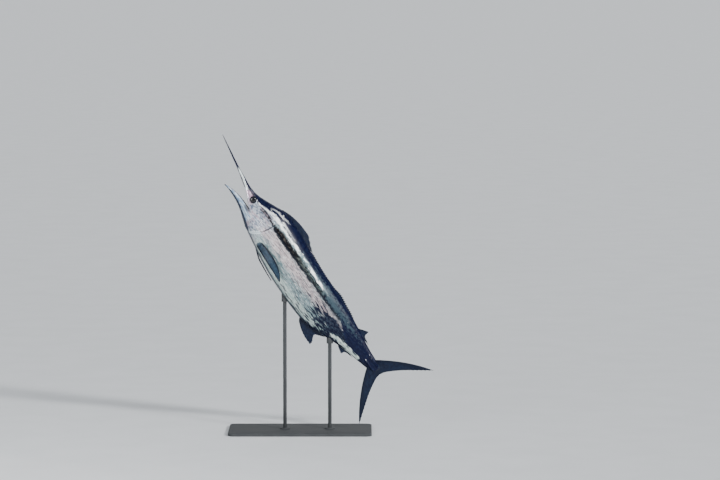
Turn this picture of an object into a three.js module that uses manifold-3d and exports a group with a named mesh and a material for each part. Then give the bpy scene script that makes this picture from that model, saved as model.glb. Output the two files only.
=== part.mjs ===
// A striped marlin leaping with its mouth open, life size, held above the floor by a plain
// display stand. Millimetres, +Z up, origin at the middle of the underside of the stand's base.
//
// The fish is drawn in a frame of its own and then tipped up: x runs from the closed jaw's tip
// to the tail, z points to the back, and y points to the fish's right side.
import * as THREE from "three";
import { mergeVertices } from "three/addons/utils/BufferGeometryUtils.js";
import Module from "manifold-3d";

const wasm = await Module();
wasm.setup();

// Driving sizes
const LENGTH = 2254; // lower jaw tip to the fork of the tail
const PITCH = 54; // degrees that the body points above level
const GAP = 0.4; // left between pieces that touch
const AXIS_X = -640; // where the fish frame's origin stands over the base
const AXIS_Z = 2318; // and how high, which lifts the lower tail tip clear of the base
const BILL_TIP_X = -387;
const BILL_ROOT_X = 100;
const MOUTH_CORNER = [313, -12];
const JAW_ANGLE = [352, -135];
const JAW_TIP_X = -10;
const TRUNK_SPLIT_X = 1010;
const STOCK_SPLIT_X = 1590;
const STOCK_END_X = 2218;
const CHEEK_END_X = 600; // the swollen cheeks run back to here
const SIDE_REACH = 200; // blocks that part the fish reach this far out to each side
const CUT_REACH = 400; // and this far up and down

const rad = THREE.MathUtils.degToRad;
const smoothstep = THREE.MathUtils.smoothstep;
const lerp = THREE.MathUtils.lerp;
const signedPower = (v, p) => Math.sign(v) * Math.abs(v) ** p;

// A smooth line through points [x, value] that never swings past them.
function through(points) {
  const last = points.length - 1;
  const slope = points.slice(1).map(([x, v], i) => (v - points[i][1]) / (x - points[i][0]));
  const tangent = points.map((p, i) => {
    if (i === 0) return slope[0];
    if (i === last) return slope[last - 1];
    const [a, b] = [slope[i - 1], slope[i]];
    return a * b <= 0 ? 0 : (2 * a * b) / (a + b);
  });
  return (x) => {
    const at = THREE.MathUtils.clamp(x, points[0][0], points[last][0]);
    let i = 0;
    while (i < last - 1 && at > points[i + 1][0]) i += 1;
    const h = points[i + 1][0] - points[i][0];
    const t = (at - points[i][0]) / h;
    const [v0, v1] = [points[i][1], points[i + 1][1]];
    return (
      (1 + 2 * t) * (1 - t) ** 2 * v0 +
      t * (1 - t) ** 2 * h * tangent[i] +
      t ** 2 * (3 - 2 * t) * v1 +
      t ** 2 * (t - 1) * h * tangent[i + 1]
    );
  };
}

// Side view of the body with its mouth shut, from bill tip to tail root: [x, z].
const backLine = through([
  [-387, 198.5], [-200, 168], [-28, 139], [55, 130], [110, 123], [155, 120], [205, 122],
  [253, 131], [327, 157], [427, 199], [518, 234], [600, 243], [782, 233], [966, 213],
  [1122, 199], [1257, 190], [1417, 186], [1606, 175], [1785, 155], [1914, 134], [2052, 116],
  [2150, 109], [2218, 96],
]);
const bellyLine = through([
  [-387, 193.5], [-200, 153], [-28, 114], [55, 84], [110, 48], [155, 22], [205, -14],
  [252, -50], [313, -100], [350, -114], [406, -131], [494, -152], [624, -176], [795, -205],
  [941, -221], [1087, -228], [1244, -231], [1385, -226], [1480, -212], [1569, -188],
  [1672, -143], [1801, -92], [1914, -58], [2052, -24], [2150, 2], [2218, 22],
]);
const halfWidth = through([
  [-387, 3], [-200, 9], [-28, 14], [55, 23], [110, 33], [155, 41], [205, 51], [253, 62],
  [327, 79], [427, 98], [518, 111], [624, 118], [782, 119], [966, 115], [1122, 109],
  [1257, 101], [1417, 89], [1606, 70], [1785, 49], [1914, 36], [2052, 27], [2150, 20],
  [2218, 9],
]);
// How high up the section its widest place lies, from 0 at the belly to 1 at the back.
const widestAt = through([
  [-387, 0.5], [110, 0.5], [313, 0.47], [600, 0.5], [1300, 0.53], [2218, 0.5],
]);

// The mouth: the upper jaw's lower edge, and the opened lower jaw's two edges and half width.
const upperLip = through([
  [-20, 114], [55, 91], [110, 79], [155, 66], [205, 43], [258, 14], MOUTH_CORNER,
]);
const jawTop = through([
  [-10, -57], [20, -43], [60, -30], [143, -13], [200, -9], [252, -9], MOUTH_CORNER, [360, -12],
]);
const jawBottom = through([
  [-10, -62], [20, -58], [64, -56], [143, -60], [200, -68], [252, -80], [313, -100], [360, -117],
]);
const jawHalf = through([
  [-10, 3], [20, 14], [60, 22], [143, 35], [200, 48], [252, 61], [313, 76], [360, 86],
]);

// The gill slit's edge, from the nape down to the throat: [x, z].
const GILL_SLIT = [
  [505, 300], [518, 190], [543, 128], [556, 92], [556, 50], [546, -10], [522, -62], [482, -120],
  [440, -165], [415, -230],
];
const GILL_COVER = [
  [556, 50], [546, -10], [522, -62], [482, -112], [447, -118], [408, -62], [398, -4], [412, 62],
  [452, 92], [510, 97], [552, 92],
];
const COVER_RAISE = 7; // how far the gill covers stand out over the trunk behind them
const COVER_INNER_Y = 58;

// How far the cheek swells out over the gill chamber.
function cheekSwell(x, z) {
  const along = smoothstep(x, 400, 545);
  const window = smoothstep(z, -165, -105) * (1 - smoothstep(z, 84, 118));
  return COVER_RAISE * along * window;
}

// The body's section is an ellipse at the bill. Behind the head it is a little lean over the
// back and a little full round the belly, by the power of its curve.
const LEAN_BACK = 1.92;
const FULL_BELLY = 2.15;
function fullness(x, up) {
  return lerp(2, up ? LEAN_BACK : FULL_BELLY, smoothstep(x, 100, 500));
}

// A point of the body's skin at station x, angle a round the section: 0 is the right side,
// a quarter turn is the back. grow moves the skin out by that much.
function bodyPoint(x, a, { grow = 0, cheeks = false } = {}) {
  const [top, bottom] = [backLine(x) + grow, bellyLine(x) - grow];
  const mid = lerp(bottom, top, widestAt(x));
  const up = Math.sin(a) >= 0;
  const power = fullness(x, up);
  const z = mid + (up ? top - mid : mid - bottom) * signedPower(Math.sin(a), 2 / power);
  const y = (halfWidth(x) + grow) * signedPower(Math.cos(a), 2 / power);
  const swell = cheeks ? Math.min(1, Math.abs(y) / 30) * cheekSwell(x, z) : 0;
  return [x, y + Math.sign(y) * swell, z];
}

// The body's half width at a station and a height.
function sideAt(x, z) {
  const [top, bottom] = [backLine(x), bellyLine(x)];
  const mid = lerp(bottom, top, widestAt(x));
  const power = fullness(x, z > mid);
  const t = z > mid ? (z - mid) / (top - mid) : (mid - z) / (mid - bottom);
  return halfWidth(x) * Math.max(0, 1 - Math.min(1, t) ** power) ** (1 / power);
}

// Closed meshes as solids, and back
const MERGE_WITHIN = 1e-4;
function solidOf(geometry) {
  const bare = new THREE.BufferGeometry();
  bare.setAttribute("position", geometry.getAttribute("position").clone());
  if (geometry.index) bare.setIndex(geometry.index.clone());
  const merged = mergeVertices(bare, MERGE_WITHIN);
  return new wasm.Manifold(
    new wasm.Mesh({
      numProp: 3,
      vertProperties: new Float32Array(merged.attributes.position.array),
      triVerts: new Uint32Array(merged.index.array),
    }),
  );
}

function geometryOf(solid) {
  const mesh = solid.getMesh();
  const geometry = new THREE.BufferGeometry();
  geometry.setAttribute("position", new THREE.BufferAttribute(mesh.vertProperties, 3));
  geometry.setIndex(new THREE.BufferAttribute(mesh.triVerts, 1));
  geometry.computeVertexNormals();
  return geometry;
}

const largestOf = (solid) => solid.decompose().sort((a, b) => b.volume() - a.volume())[0];

// A closed mesh as a solid with its faces pointing out, whichever way they were listed.
function facingOut(geometry) {
  const solid = solidOf(geometry);
  if (solid.volume() > 0) return solid;
  const index = Array.from(geometry.index.array);
  for (let n = 0; n < index.length; n += 3) {
    [index[n + 1], index[n + 2]] = [index[n + 2], index[n + 1]];
  }
  geometry.setIndex(index);
  return solidOf(geometry);
}

// A closed mesh through rings of points, with a fan at each end.
function loftGeometry(rings) {
  const round = rings[0].length;
  const positions = rings.flat(2);
  const index = [];
  const first = positions.length / 3;
  for (const ring of [rings[0], rings.at(-1)]) {
    for (let axis = 0; axis < 3; axis += 1) {
      positions.push(ring.reduce((sum, p) => sum + p[axis], 0) / round);
    }
  }
  for (let j = 0; j < round; j += 1) {
    const k = (j + 1) % round;
    for (let i = 0; i < rings.length - 1; i += 1) {
      const [a, b, c, d] = [i * round + j, i * round + k, (i + 1) * round + k, (i + 1) * round + j];
      index.push(a, b, c, a, c, d);
    }
    const end = (rings.length - 1) * round;
    index.push(first, k, j, first + 1, end + j, end + k);
  }
  const geometry = new THREE.BufferGeometry();
  geometry.setAttribute("position", new THREE.Float32BufferAttribute(positions, 3));
  geometry.setIndex(index);
  return geometry;
}

// A thin plate over a grid of nu by nv cells. place(u, v) gives the middle of the plate there,
// its half thickness and the direction across it. Both faces are split into triangles alike.
function plate(nu, nv, place) {
  const positions = [];
  const index = [];
  const at = (i, j, face) => ((i * (nv + 1) + j) * 2 + face);
  for (let i = 0; i <= nu; i += 1) {
    for (let j = 0; j <= nv; j += 1) {
      const { point, half, across } = place(i / nu, j / nv);
      for (const side of [1, -1]) {
        positions.push(...point.map((value, axis) => value + side * half * across[axis]));
      }
    }
  }
  const quad = (a, b, c, d) => index.push(a, b, c, a, c, d);
  for (let i = 0; i < nu; i += 1) {
    for (let j = 0; j < nv; j += 1) {
      quad(at(i, j, 0), at(i + 1, j, 0), at(i + 1, j + 1, 0), at(i, j + 1, 0));
      index.push(at(i, j, 1), at(i + 1, j + 1, 1), at(i + 1, j, 1));
      index.push(at(i, j, 1), at(i, j + 1, 1), at(i + 1, j + 1, 1));
    }
    quad(at(i, 0, 0), at(i, 0, 1), at(i + 1, 0, 1), at(i + 1, 0, 0));
    quad(at(i + 1, nv, 0), at(i + 1, nv, 1), at(i, nv, 1), at(i, nv, 0));
  }
  for (let j = 0; j < nv; j += 1) {
    quad(at(0, j + 1, 0), at(0, j + 1, 1), at(0, j, 1), at(0, j, 0));
    quad(at(nu, j, 0), at(nu, j, 1), at(nu, j + 1, 1), at(nu, j + 1, 0));
  }
  const geometry = new THREE.BufferGeometry();
  geometry.setAttribute("position", new THREE.Float32BufferAttribute(positions, 3));
  geometry.setIndex(index);
  return facingOut(geometry);
}

// A block with this side view, reaching from y0 to y1.
function sideBlock(outline, y0, y1) {
  const shape = new THREE.Shape(outline.map(([x, z]) => new THREE.Vector2(x, z)));
  const geometry = new THREE.ExtrudeGeometry(shape, { depth: y1 - y0, bevelEnabled: false });
  geometry.rotateX(Math.PI / 2);
  geometry.translate(0, y1, 0);
  return solidOf(geometry);
}

function ball(centre, radii, across = 14, up = 8) {
  const geometry = new THREE.SphereGeometry(1, across, up);
  geometry.scale(...radii);
  geometry.translate(...centre);
  return solidOf(geometry);
}

// The whole body as one solid, from the bill's tip to the tail root
function bodyRings(from, to, count, round, options) {
  return Array.from({ length: count + 1 }, (_, i) => {
    const x = lerp(from, to, i / count);
    return Array.from({ length: round }, (__, j) => bodyPoint(x, (2 * Math.PI * j) / round, options));
  });
}

const loftSolid = (rings) => facingOut(loftGeometry(rings));

const TRUNK_LOFT = { from: 380, to: STOCK_END_X, stations: 38, round: 32 };
const HEAD_LOFT = { from: 60, to: CHEEK_END_X, stations: 28, round: 36 };
const BILL_LOFT = { from: BILL_TIP_X, to: BILL_ROOT_X - GAP, stations: 16, round: 14 };
const bodyLoft = ({ from, to, stations, round }, options) =>
  loftSolid(bodyRings(from, to, stations, round, options));
const trunkSolid = bodyLoft(TRUNK_LOFT);
const headSolid = bodyLoft(HEAD_LOFT, { cheeks: true });
const billSolid = bodyLoft(BILL_LOFT);
const bodyHull = bodyLoft(TRUNK_LOFT, { grow: GAP }).add(
  bodyLoft(HEAD_LOFT, { cheeks: true, grow: GAP }),
);

// Blocks that part the body, seen from the side: all in front of the gill slit, a stretch of the
// body, and the opened mouth, with everything below the upper lip back to the jaw's angle
const sideCut = (outline) => sideBlock(outline, -SIDE_REACH, SIDE_REACH);
const headSide = (behind) =>
  sideCut([
    [BILL_ROOT_X, CUT_REACH],
    ...GILL_SLIT.map(([x, z]) => [x + behind, z]),
    [BILL_ROOT_X, -CUT_REACH],
  ]);
const stretch = (from, to) =>
  sideCut([[from, CUT_REACH], [to, CUT_REACH], [to, -CUT_REACH], [from, -CUT_REACH]]);

const LIP_STATIONS = [-20, 20, 55, 85, 110, 133, 155, 180, 205, 232, 258, 285, MOUTH_CORNER[0]];
const MOUTH_FRONT_X = -60;
const mouthSide = (inset) =>
  sideCut([
    ...LIP_STATIONS.map((x) => [x, upperLip(x) - inset]),
    [JAW_ANGLE[0] - inset, JAW_ANGLE[1]],
    [JAW_ANGLE[0] - inset, -CUT_REACH],
    [MOUTH_FRONT_X, -CUT_REACH],
    [MOUTH_FRONT_X, upperLip(LIP_STATIONS[0]) - inset],
  ]);

function material(color, roughness, metalness = 0) {
  return new THREE.MeshStandardMaterial({ color, roughness, metalness });
}
const skinBack = material("#1b2238", 0.35);
const skinSide = material("#9aa3aa", 0.3);
const skinPale = material("#c9cfd2", 0.35);
const finDark = material("#141a2c", 0.45);
const finPale = material("#6f8190", 0.45);
const eyeGloss = material("#0b0b10", 0.1);
const standMetal = material("#3c4045", 0.4, 0.8);

const fish = new THREE.Group();
fish.rotation.y = rad(PITCH);
fish.position.set(AXIS_X, 0, AXIS_Z);
fish.updateMatrixWorld(true);

function add(group, name, solid, look) {
  const mesh = new THREE.Mesh(geometryOf(largestOf(solid)), look);
  mesh.name = name;
  group.add(mesh);
}

// Head: the bill, the skull with its palate and lips, the gill covers, the eyes and the lower jaw
const EYE = { x: 260, z: 72, radius: 29, depth: 12, sunk: 4 };
const ORBIT = { radius: EYE.radius + 2, thick: 5, raised: -1 };
const NOSTRILS = [[203, 88], [217, 84]];
const NOSTRIL_RADII = [5, 6, 3.5];
const PALATE = { centre: [222, 0, upperLip(222)], radii: [92, 34, 20] };
const THROAT = { centre: [318, 0, -38], radii: [62, 46, 26] };
const TONGUE_BED = { centre: [205, 0, -8], radii: [170, 33, 22] };
const COVER_MIDDLE = [480, 0];

// A point on the flank at a station and a height, moved out by that much. side is 1 on the right.
const onFlank = (side, x, z, out = 0) => [x, side * (sideAt(x, z) + out), z];

function eyeBall(side, grow) {
  const [across, deep] = [EYE.radius + grow, EYE.depth + grow];
  return ball(onFlank(side, EYE.x, EYE.z, -EYE.sunk), [across, deep, across], 20, 8);
}

function orbitRim(side) {
  const geometry = new THREE.TorusGeometry(ORBIT.radius, ORBIT.thick, 5, 20);
  geometry.rotateX(Math.PI / 2);
  geometry.translate(...onFlank(side, EYE.x, EYE.z, ORBIT.raised));
  return solidOf(geometry);
}

// The block that a gill cover fills, drawn in all round its outline by that much.
function coverBlock(side, inset) {
  const outline = GILL_COVER.map(([x, z]) => {
    const [dx, dz] = [x - COVER_MIDDLE[0], z - COVER_MIDDLE[1]];
    const reach = Math.hypot(dx, dz);
    return [x - (inset * dx) / reach, z - (inset * dz) / reach];
  });
  const inner = COVER_INNER_Y + inset;
  return side < 0
    ? sideBlock(outline, -SIDE_REACH, -inner)
    : sideBlock(outline, inner, SIDE_REACH);
}

// The lip is a low bead along the upper jaw's edge, thickest half way to the mouth's corner.
const LIP = { from: 96, to: 322, stations: 8, round: 6, thick: 6, least: 2 };
function lip(side) {
  const rings = Array.from({ length: LIP.stations + 1 }, (_, i) => {
    const t = i / LIP.stations;
    const x = lerp(LIP.from, LIP.to, t);
    const [, y, z] = onFlank(side, x, upperLip(x), -1);
    const radius = lerp(LIP.least, LIP.thick, Math.sin(Math.PI * t));
    return Array.from({ length: LIP.round }, (__, j) => {
      const a = (2 * Math.PI * j) / LIP.round;
      return [x, y + radius * Math.cos(a), z + radius * Math.sin(a)];
    });
  });
  return loftSolid(rings);
}

let skull = headSolid.intersect(headSide(0));
for (const side of [-1, 1]) {
  skull = skull.add(orbitRim(side)).add(lip(side).intersect(headSide(0)));
}
skull = skull.subtract(mouthSide(0));
skull = skull.subtract(ball(PALATE.centre, PALATE.radii)).subtract(ball(THROAT.centre, THROAT.radii));
for (const side of [-1, 1]) {
  skull = skull.subtract(eyeBall(side, GAP)).subtract(coverBlock(side, 0));
  for (const [x, z] of NOSTRILS) skull = skull.subtract(ball(onFlank(side, x, z), NOSTRIL_RADII, 8, 6));
}
add(fish, "head", skull, skinBack);
add(fish, "bill", billSolid.subtract(mouthSide(0)), skinBack);
for (const [name, side] of [["left", -1], ["right", 1]]) {
  const cover = headSolid.intersect(headSide(0)).intersect(coverBlock(side, GAP));
  add(fish, `gill_cover_${name}`, cover, skinSide);
  add(fish, `eye_${name}`, eyeBall(side, 0), eyeGloss);
}

// The lower jaw is a trough with a nearly flat rim. Its rear takes up the section of the head.
const JAW = { stations: 20, quarter: 7, end: 360, rim: 0.4, power: 0.9 };
function jawRing(x) {
  const [top, bottom] = [jawTop(x), jawBottom(x)];
  const matched = smoothstep(x, 200, MOUTH_CORNER[0]);
  const side = Array.from({ length: JAW.quarter + 1 }, (_, j) => {
    const down = Math.sin((Math.PI / 2) * (j / JAW.quarter));
    const own = jawHalf(x) * Math.sqrt(Math.max(0, 1 - down ** 2)) ** JAW.power;
    const shared = sideAt(x, lerp(upperLip(x), bellyLine(x), down));
    return [x, lerp(own, j < JAW.quarter ? shared : 0, matched), lerp(top, bottom, down)];
  });
  const other = side.slice(0, -1).reverse().map(([, y, z]) => [x, -y, z]);
  const rim = side[0][1] * JAW.rim;
  return [...side, ...other, [x, -rim, top - 1], [x, rim, top - 1]];
}
const jawRings = Array.from({ length: JAW.stations + 1 }, (_, i) =>
  jawRing(lerp(JAW_TIP_X, JAW.end, i / JAW.stations)),
);
const jaw = loftSolid(jawRings)
  .intersect(mouthSide(GAP))
  .subtract(ball(TONGUE_BED.centre, TONGUE_BED.radii, 20, 8))
  .subtract(ball(THROAT.centre, THROAT.radii));
add(fish, "lower_jaw", jaw, skinPale);

// Trunk and tail stock, with two keels on each side of the tail root
const KEEL = { x: 2122, length: 74, height: 11, thick: 7, apart: 25, middle: 57 };
const behindHead = trunkSolid.subtract(headSide(GAP));
let stock = behindHead.intersect(stretch(STOCK_SPLIT_X + GAP, STOCK_END_X + 10));
for (const side of [-1, 1]) {
  for (const level of [-1, 1]) {
    const root = onFlank(side, KEEL.x, KEEL.middle + level * KEEL.apart, -1);
    stock = stock.add(ball(root, [KEEL.length, KEEL.height, KEEL.thick], 10, 6));
  }
}
add(fish, "trunk_front", behindHead.intersect(stretch(TRUNK_LOFT.from, TRUNK_SPLIT_X)), skinSide);
add(fish, "trunk_rear", behindHead.intersect(stretch(TRUNK_SPLIT_X + GAP, STOCK_SPLIT_X)), skinSide);
add(fish, "tail_stock", stock, skinBack);

// Fins: each is a plate of rays from a root curve to a margin. The rays stand up as ridges, and
// the membrane between two rays ends a little short of their tips.
function rayFin({ rays, steps, root, tip, bend = () => [0, 0], thick, edge = 0.6, ridge, ragged }) {
  return plate(steps, rays * 2, (u, v) => {
    const onRay = Math.round(v * rays * 2) % 2 === 0;
    const reach = u * (onRay ? 1 : 1 - ragged);
    const [rx, rz] = root(v);
    const [tx, tz] = tip(v);
    const [bx, bz] = bend(v);
    const bow = 4 * reach * (1 - reach);
    const point = [lerp(rx, tx, reach) + bx * bow, 0, lerp(rz, tz, reach) + bz * bow];
    const taper = lerp(thick(v), edge, u ** 0.8);
    const rise = onRay ? ridge * (1 - 0.6 * u) : 0;
    return { point, half: taper + rise, across: [0, 1, 0] };
  });
}
const rooted = (fin) => fin.subtract(bodyHull);

// A smooth curve from a table of [v, x, z].
function curveOf(table) {
  const x = through(table.map((row) => [row[0], row[1]]));
  const z = through(table.map((row) => [row[0], row[2]]));
  return (v) => [x(v), z(v)];
}

// First dorsal fin: the tall front lobe is folded back on itself, with its ray tips free behind
const LOBE_TIPS = [
  [0, 500, 236], [0.08, 575, 263], [0.17, 655, 281], [0.26, 735, 289], [0.35, 800, 290],
  [0.44, 848, 285], [0.53, 868, 270], [0.62, 893, 264], [0.71, 915, 248], [0.8, 940, 242],
  [0.9, 962, 231], [1, 985, 224],
];
const lobeTip = curveOf(LOBE_TIPS);
const lobeRoot = (v) => {
  const x = lerp(478, 905, v);
  return [x, backLine(x) - 14];
};
const dorsalLobe = rayFin({
  rays: 12,
  steps: 7,
  root: lobeRoot,
  tip: lobeTip,
  bend: (v) => [0, 9 * Math.sin(Math.PI * Math.min(1, v * 1.6))],
  thick: (v) => 8 - 3 * v,
  edge: 1.6,
  ridge: 1.3,
  ragged: 0.045,
});
add(fish, "dorsal_fin_lobe", rooted(dorsalLobe), finDark);

// The low rear part of the first dorsal fin, folded down into a fringe along the back
const fringeHeight = through([
  [0, 15], [0.25, 11], [0.5, 12], [0.66, 27], [0.78, 17], [0.92, 12], [1, 4],
]);
const dorsalFringe = rayFin({
  rays: 18,
  steps: 3,
  root: (v) => [lerp(935, 1672, v), backLine(lerp(935, 1672, v)) - 12],
  tip: (v) => {
    const x = lerp(994, 1712, v);
    return [x, backLine(x) + fringeHeight(v)];
  },
  thick: () => 5,
  edge: 1.2,
  ridge: 1.1,
  ragged: 0.12,
});
add(fish, "dorsal_fin_fringe", rooted(dorsalFringe), finDark);

// A small fin near the tail, whose last ray is drawn out backwards. up is 1 on the back, -1 below.
function smallFin(line, up, from, to, height) {
  const tipX = through([
    [0, from + 30], [0.3, from + 96], [0.55, to + 6], [0.8, to + 30], [1, to + 96],
  ]);
  const rise = through([
    [0, 14], [0.3, height], [0.55, height * 0.42], [0.8, height * 0.24], [1, height * 0.2],
  ]);
  return rayFin({
    rays: 6,
    steps: 5,
    root: (v) => [lerp(from, to, v), line(lerp(from, to, v)) - up * 12],
    tip: (v) => [tipX(v), line(tipX(v)) + up * rise(v)],
    thick: () => 5,
    ridge: 0.9,
    ragged: 0.05,
  });
}
add(fish, "second_dorsal_fin", rooted(smallFin(backLine, 1, 1780, 1878, 70)), finDark);
add(fish, "second_anal_fin", rooted(smallFin(bellyLine, -1, 1792, 1888, 50)), finDark);

// First anal fin, a sickle swept back
const ANAL_TIPS = [
  [0, 1424, -256], [0.12, 1500, -283], [0.25, 1585, -297], [0.36, 1652, -298], [0.46, 1646, -270],
  [0.58, 1618, -240], [0.7, 1601, -214], [0.85, 1634, -180], [1, 1676, -146],
];
const analFin = rayFin({
  rays: 11,
  steps: 6,
  root: (v) => [lerp(1378, 1625, v), bellyLine(lerp(1378, 1625, v)) + 13],
  tip: curveOf(ANAL_TIPS),
  bend: (v) => [0, -5 * (1 - v)],
  thick: (v) => 8 - 3 * v,
  ridge: 1.1,
  ragged: 0.035,
});
add(fish, "anal_fin", rooted(analFin), finDark);

// Tail fin: two stiff lobes that leave the tail root as a crescent. level is 1 above, -1 below.
const TAIL = { middle: 60, spread: 428, tipX: 2522, forkX: LENGTH, parted: 0.5 };
function tailLobe(level) {
  const edge = curveOf([
    [0, TAIL.tipX, TAIL.spread], [0.18, 2438, 316], [0.4, 2348, 192], [0.62, 2292, 100],
    [0.82, 2264, 42], [1, TAIL.forkX, TAIL.parted],
  ]);
  return rayFin({
    rays: 11,
    steps: 8,
    root: (v) => [lerp(2118, 2196, v), TAIL.middle + level * lerp(42, TAIL.parted, v)],
    tip: (v) => [edge(v)[0], TAIL.middle + level * edge(v)[1]],
    bend: (v) => [-14 * (1 - v), level * 22 * (1 - v)],
    thick: (v) => 12 - 2 * v,
    edge: 0.8,
    ridge: 1.3,
    ragged: 0.012,
  });
}
add(fish, "tail_fin_upper", rooted(tailLobe(1)).subtract(stock), finDark);
add(fish, "tail_fin_lower", rooted(tailLobe(-1)).subtract(stock), finDark);

// Paired fins lie back along the flank. edges(u) gives the blade's two edges at u along it, and
// out(x, z, u) how far from the middle of the fish it stands.
const EDGE_THINNING = 0.45;
const PAIRED_RIDGE = 0.5;
function pairedFin({ side, steps, rays, edges, out, thick }) {
  return plate(steps, rays * 2, (u, v) => {
    const [lead, trail] = edges(u);
    const onRay = Math.round(v * rays * 2) % 2 === 0;
    const x = lerp(lead[0], trail[0], v);
    const z = lerp(lead[1], trail[1], v);
    const thinner = 1 - EDGE_THINNING * Math.abs(2 * v - 1);
    const half = thick(u) * thinner + (onRay ? PAIRED_RIDGE * (1 - u) : 0);
    return { point: [x, side * out(x, z, u), z], half, across: [0, 1, 0] };
  });
}
const pectoralUpper = through([
  [560, -104], [625, -91], [701, -83], [813, -86], [905, -106], [965, -134], [1008, -164],
]);
const pectoralLower = through([
  [560, -140], [625, -151], [706, -157], [839, -163], [951, -168], [1008, -170],
]);
const PECTORAL = { from: 566, to: 1008, level: -125, sunk: 14, stands: 44, flare: 20 };
const pectoral = (side) =>
  pairedFin({
    side,
    steps: 10,
    rays: 6,
    edges: (u) => {
      const x = lerp(PECTORAL.from, PECTORAL.to, u);
      return [[x, pectoralUpper(x)], [x - 10 * (1 - u), pectoralLower(x)]];
    },
    out: (x, z, u) => {
      const flank = lerp(sideAt(x, z), sideAt(x, PECTORAL.level), smoothstep(u, 0.1, 0.6));
      const away = lerp(-PECTORAL.sunk, PECTORAL.stands, smoothstep(u, 0, 0.7) ** 0.6);
      return flank + away + PECTORAL.flare * u;
    },
    thick: (u) => lerp(7, 1.1, u ** 0.6),
  });
const pelvic = (side) =>
  pairedFin({
    side,
    steps: 10,
    rays: 2,
    edges: (u) => {
      const x = lerp(604, 962, u);
      const z = bellyLine(x) + lerp(10, -14, smoothstep(u, 0, 0.4));
      const wide = lerp(8, 2, u);
      return [[x, z + wide], [x, z - wide]];
    },
    out: (x, z, u) => lerp(16, 24, u),
    thick: (u) => lerp(4, 1, u),
  });
for (const [name, side] of [["left", -1], ["right", 1]]) {
  add(fish, `pectoral_fin_${name}`, rooted(pectoral(side)), finPale);
  add(fish, `pelvic_fin_${name}`, rooted(pelvic(side)), finDark);
}

// Display stand: a flat base and two upright rods, each with a foot ring and a saddle pad
const BASE = { length: 1320, width: 680, thick: 24, corner: 60, chamfer: 3 };
const ROD = { radius: 17, sides: 24, footRadius: 46, footHigh: 12, padRadius: 30, padDeep: 34 };
const UPRIGHTS = [["front", 1165], ["rear", 1722]]; // stations under the belly
const PAD_REACH = 90; // a pad is cut from a bar that runs this far up past the belly
const placedHull = geometryOf(bodyHull);
placedHull.applyMatrix4(fish.matrixWorld);
const fishInPlace = solidOf(placedHull);

const stand = new THREE.Group();
function roundedPlate() {
  const [hx, hy, r] = [BASE.length / 2, BASE.width / 2, BASE.corner];
  const corners = [[hx - r, hy - r, 0], [r - hx, hy - r, 1], [r - hx, r - hy, 2], [hx - r, r - hy, 3]];
  const shape = new THREE.Shape();
  for (const [cx, cy, quarter] of corners) {
    shape.absarc(cx, cy, r, (quarter * Math.PI) / 2, ((quarter + 1) * Math.PI) / 2, false);
  }
  const geometry = new THREE.ExtrudeGeometry(shape, {
    depth: BASE.thick - 2 * BASE.chamfer,
    bevelEnabled: true,
    bevelThickness: BASE.chamfer,
    bevelSize: BASE.chamfer,
    bevelOffset: -BASE.chamfer,
    bevelSegments: 1,
    curveSegments: 5,
  });
  geometry.translate(0, 0, BASE.chamfer);
  return solidOf(geometry);
}
add(stand, "stand_base", roundedPlate(), standMetal);

function upright(radius, z0, z1, x) {
  const geometry = new THREE.CylinderGeometry(radius, radius, z1 - z0, ROD.sides);
  geometry.rotateX(Math.PI / 2);
  geometry.translate(x, 0, (z0 + z1) / 2);
  return solidOf(geometry);
}

// The piece of a cut pad that stays under the fish.
function lowestOf(solid) {
  return solid.decompose().sort((a, b) => a.boundingBox().min[2] - b.boundingBox().min[2])[0];
}

for (const [name, station] of UPRIGHTS) {
  const belly = new THREE.Vector3(station, 0, bellyLine(station)).applyMatrix4(fish.matrixWorld);
  const padFoot = belly.z - ROD.padDeep;
  const footTop = BASE.thick + GAP + ROD.footHigh;
  const pad = upright(ROD.padRadius, padFoot, belly.z + PAD_REACH, belly.x).subtract(fishInPlace);
  const foot = upright(ROD.footRadius, BASE.thick + GAP, footTop, belly.x);
  const rod = upright(ROD.radius, footTop + GAP, padFoot - GAP, belly.x);
  add(stand, `stand_foot_${name}`, foot, standMetal);
  add(stand, `stand_rod_${name}`, rod, standMetal);
  add(stand, `stand_pad_${name}`, lowestOf(pad), standMetal);
}

const model = new THREE.Group();
model.add(fish, stand);
export default model;
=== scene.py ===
import math

import bpy
import numpy as np
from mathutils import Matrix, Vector
from mathutils.bvhtree import BVHTree


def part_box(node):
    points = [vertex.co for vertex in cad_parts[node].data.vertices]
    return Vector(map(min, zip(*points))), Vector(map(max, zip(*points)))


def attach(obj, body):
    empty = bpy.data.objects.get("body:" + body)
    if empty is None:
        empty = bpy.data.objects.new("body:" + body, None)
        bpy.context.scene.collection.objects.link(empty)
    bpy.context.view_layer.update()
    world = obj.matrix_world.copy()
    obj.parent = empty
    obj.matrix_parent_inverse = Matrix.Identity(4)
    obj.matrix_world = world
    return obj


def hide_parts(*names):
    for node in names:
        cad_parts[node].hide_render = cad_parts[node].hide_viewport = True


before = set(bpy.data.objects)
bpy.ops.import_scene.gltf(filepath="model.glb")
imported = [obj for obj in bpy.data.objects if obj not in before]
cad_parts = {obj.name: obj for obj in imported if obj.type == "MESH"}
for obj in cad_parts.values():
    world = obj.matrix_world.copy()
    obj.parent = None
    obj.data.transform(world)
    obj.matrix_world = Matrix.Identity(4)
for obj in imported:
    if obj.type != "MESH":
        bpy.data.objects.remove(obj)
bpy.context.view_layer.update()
bpy.ops.object.select_all(action="DESELECT")

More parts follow.
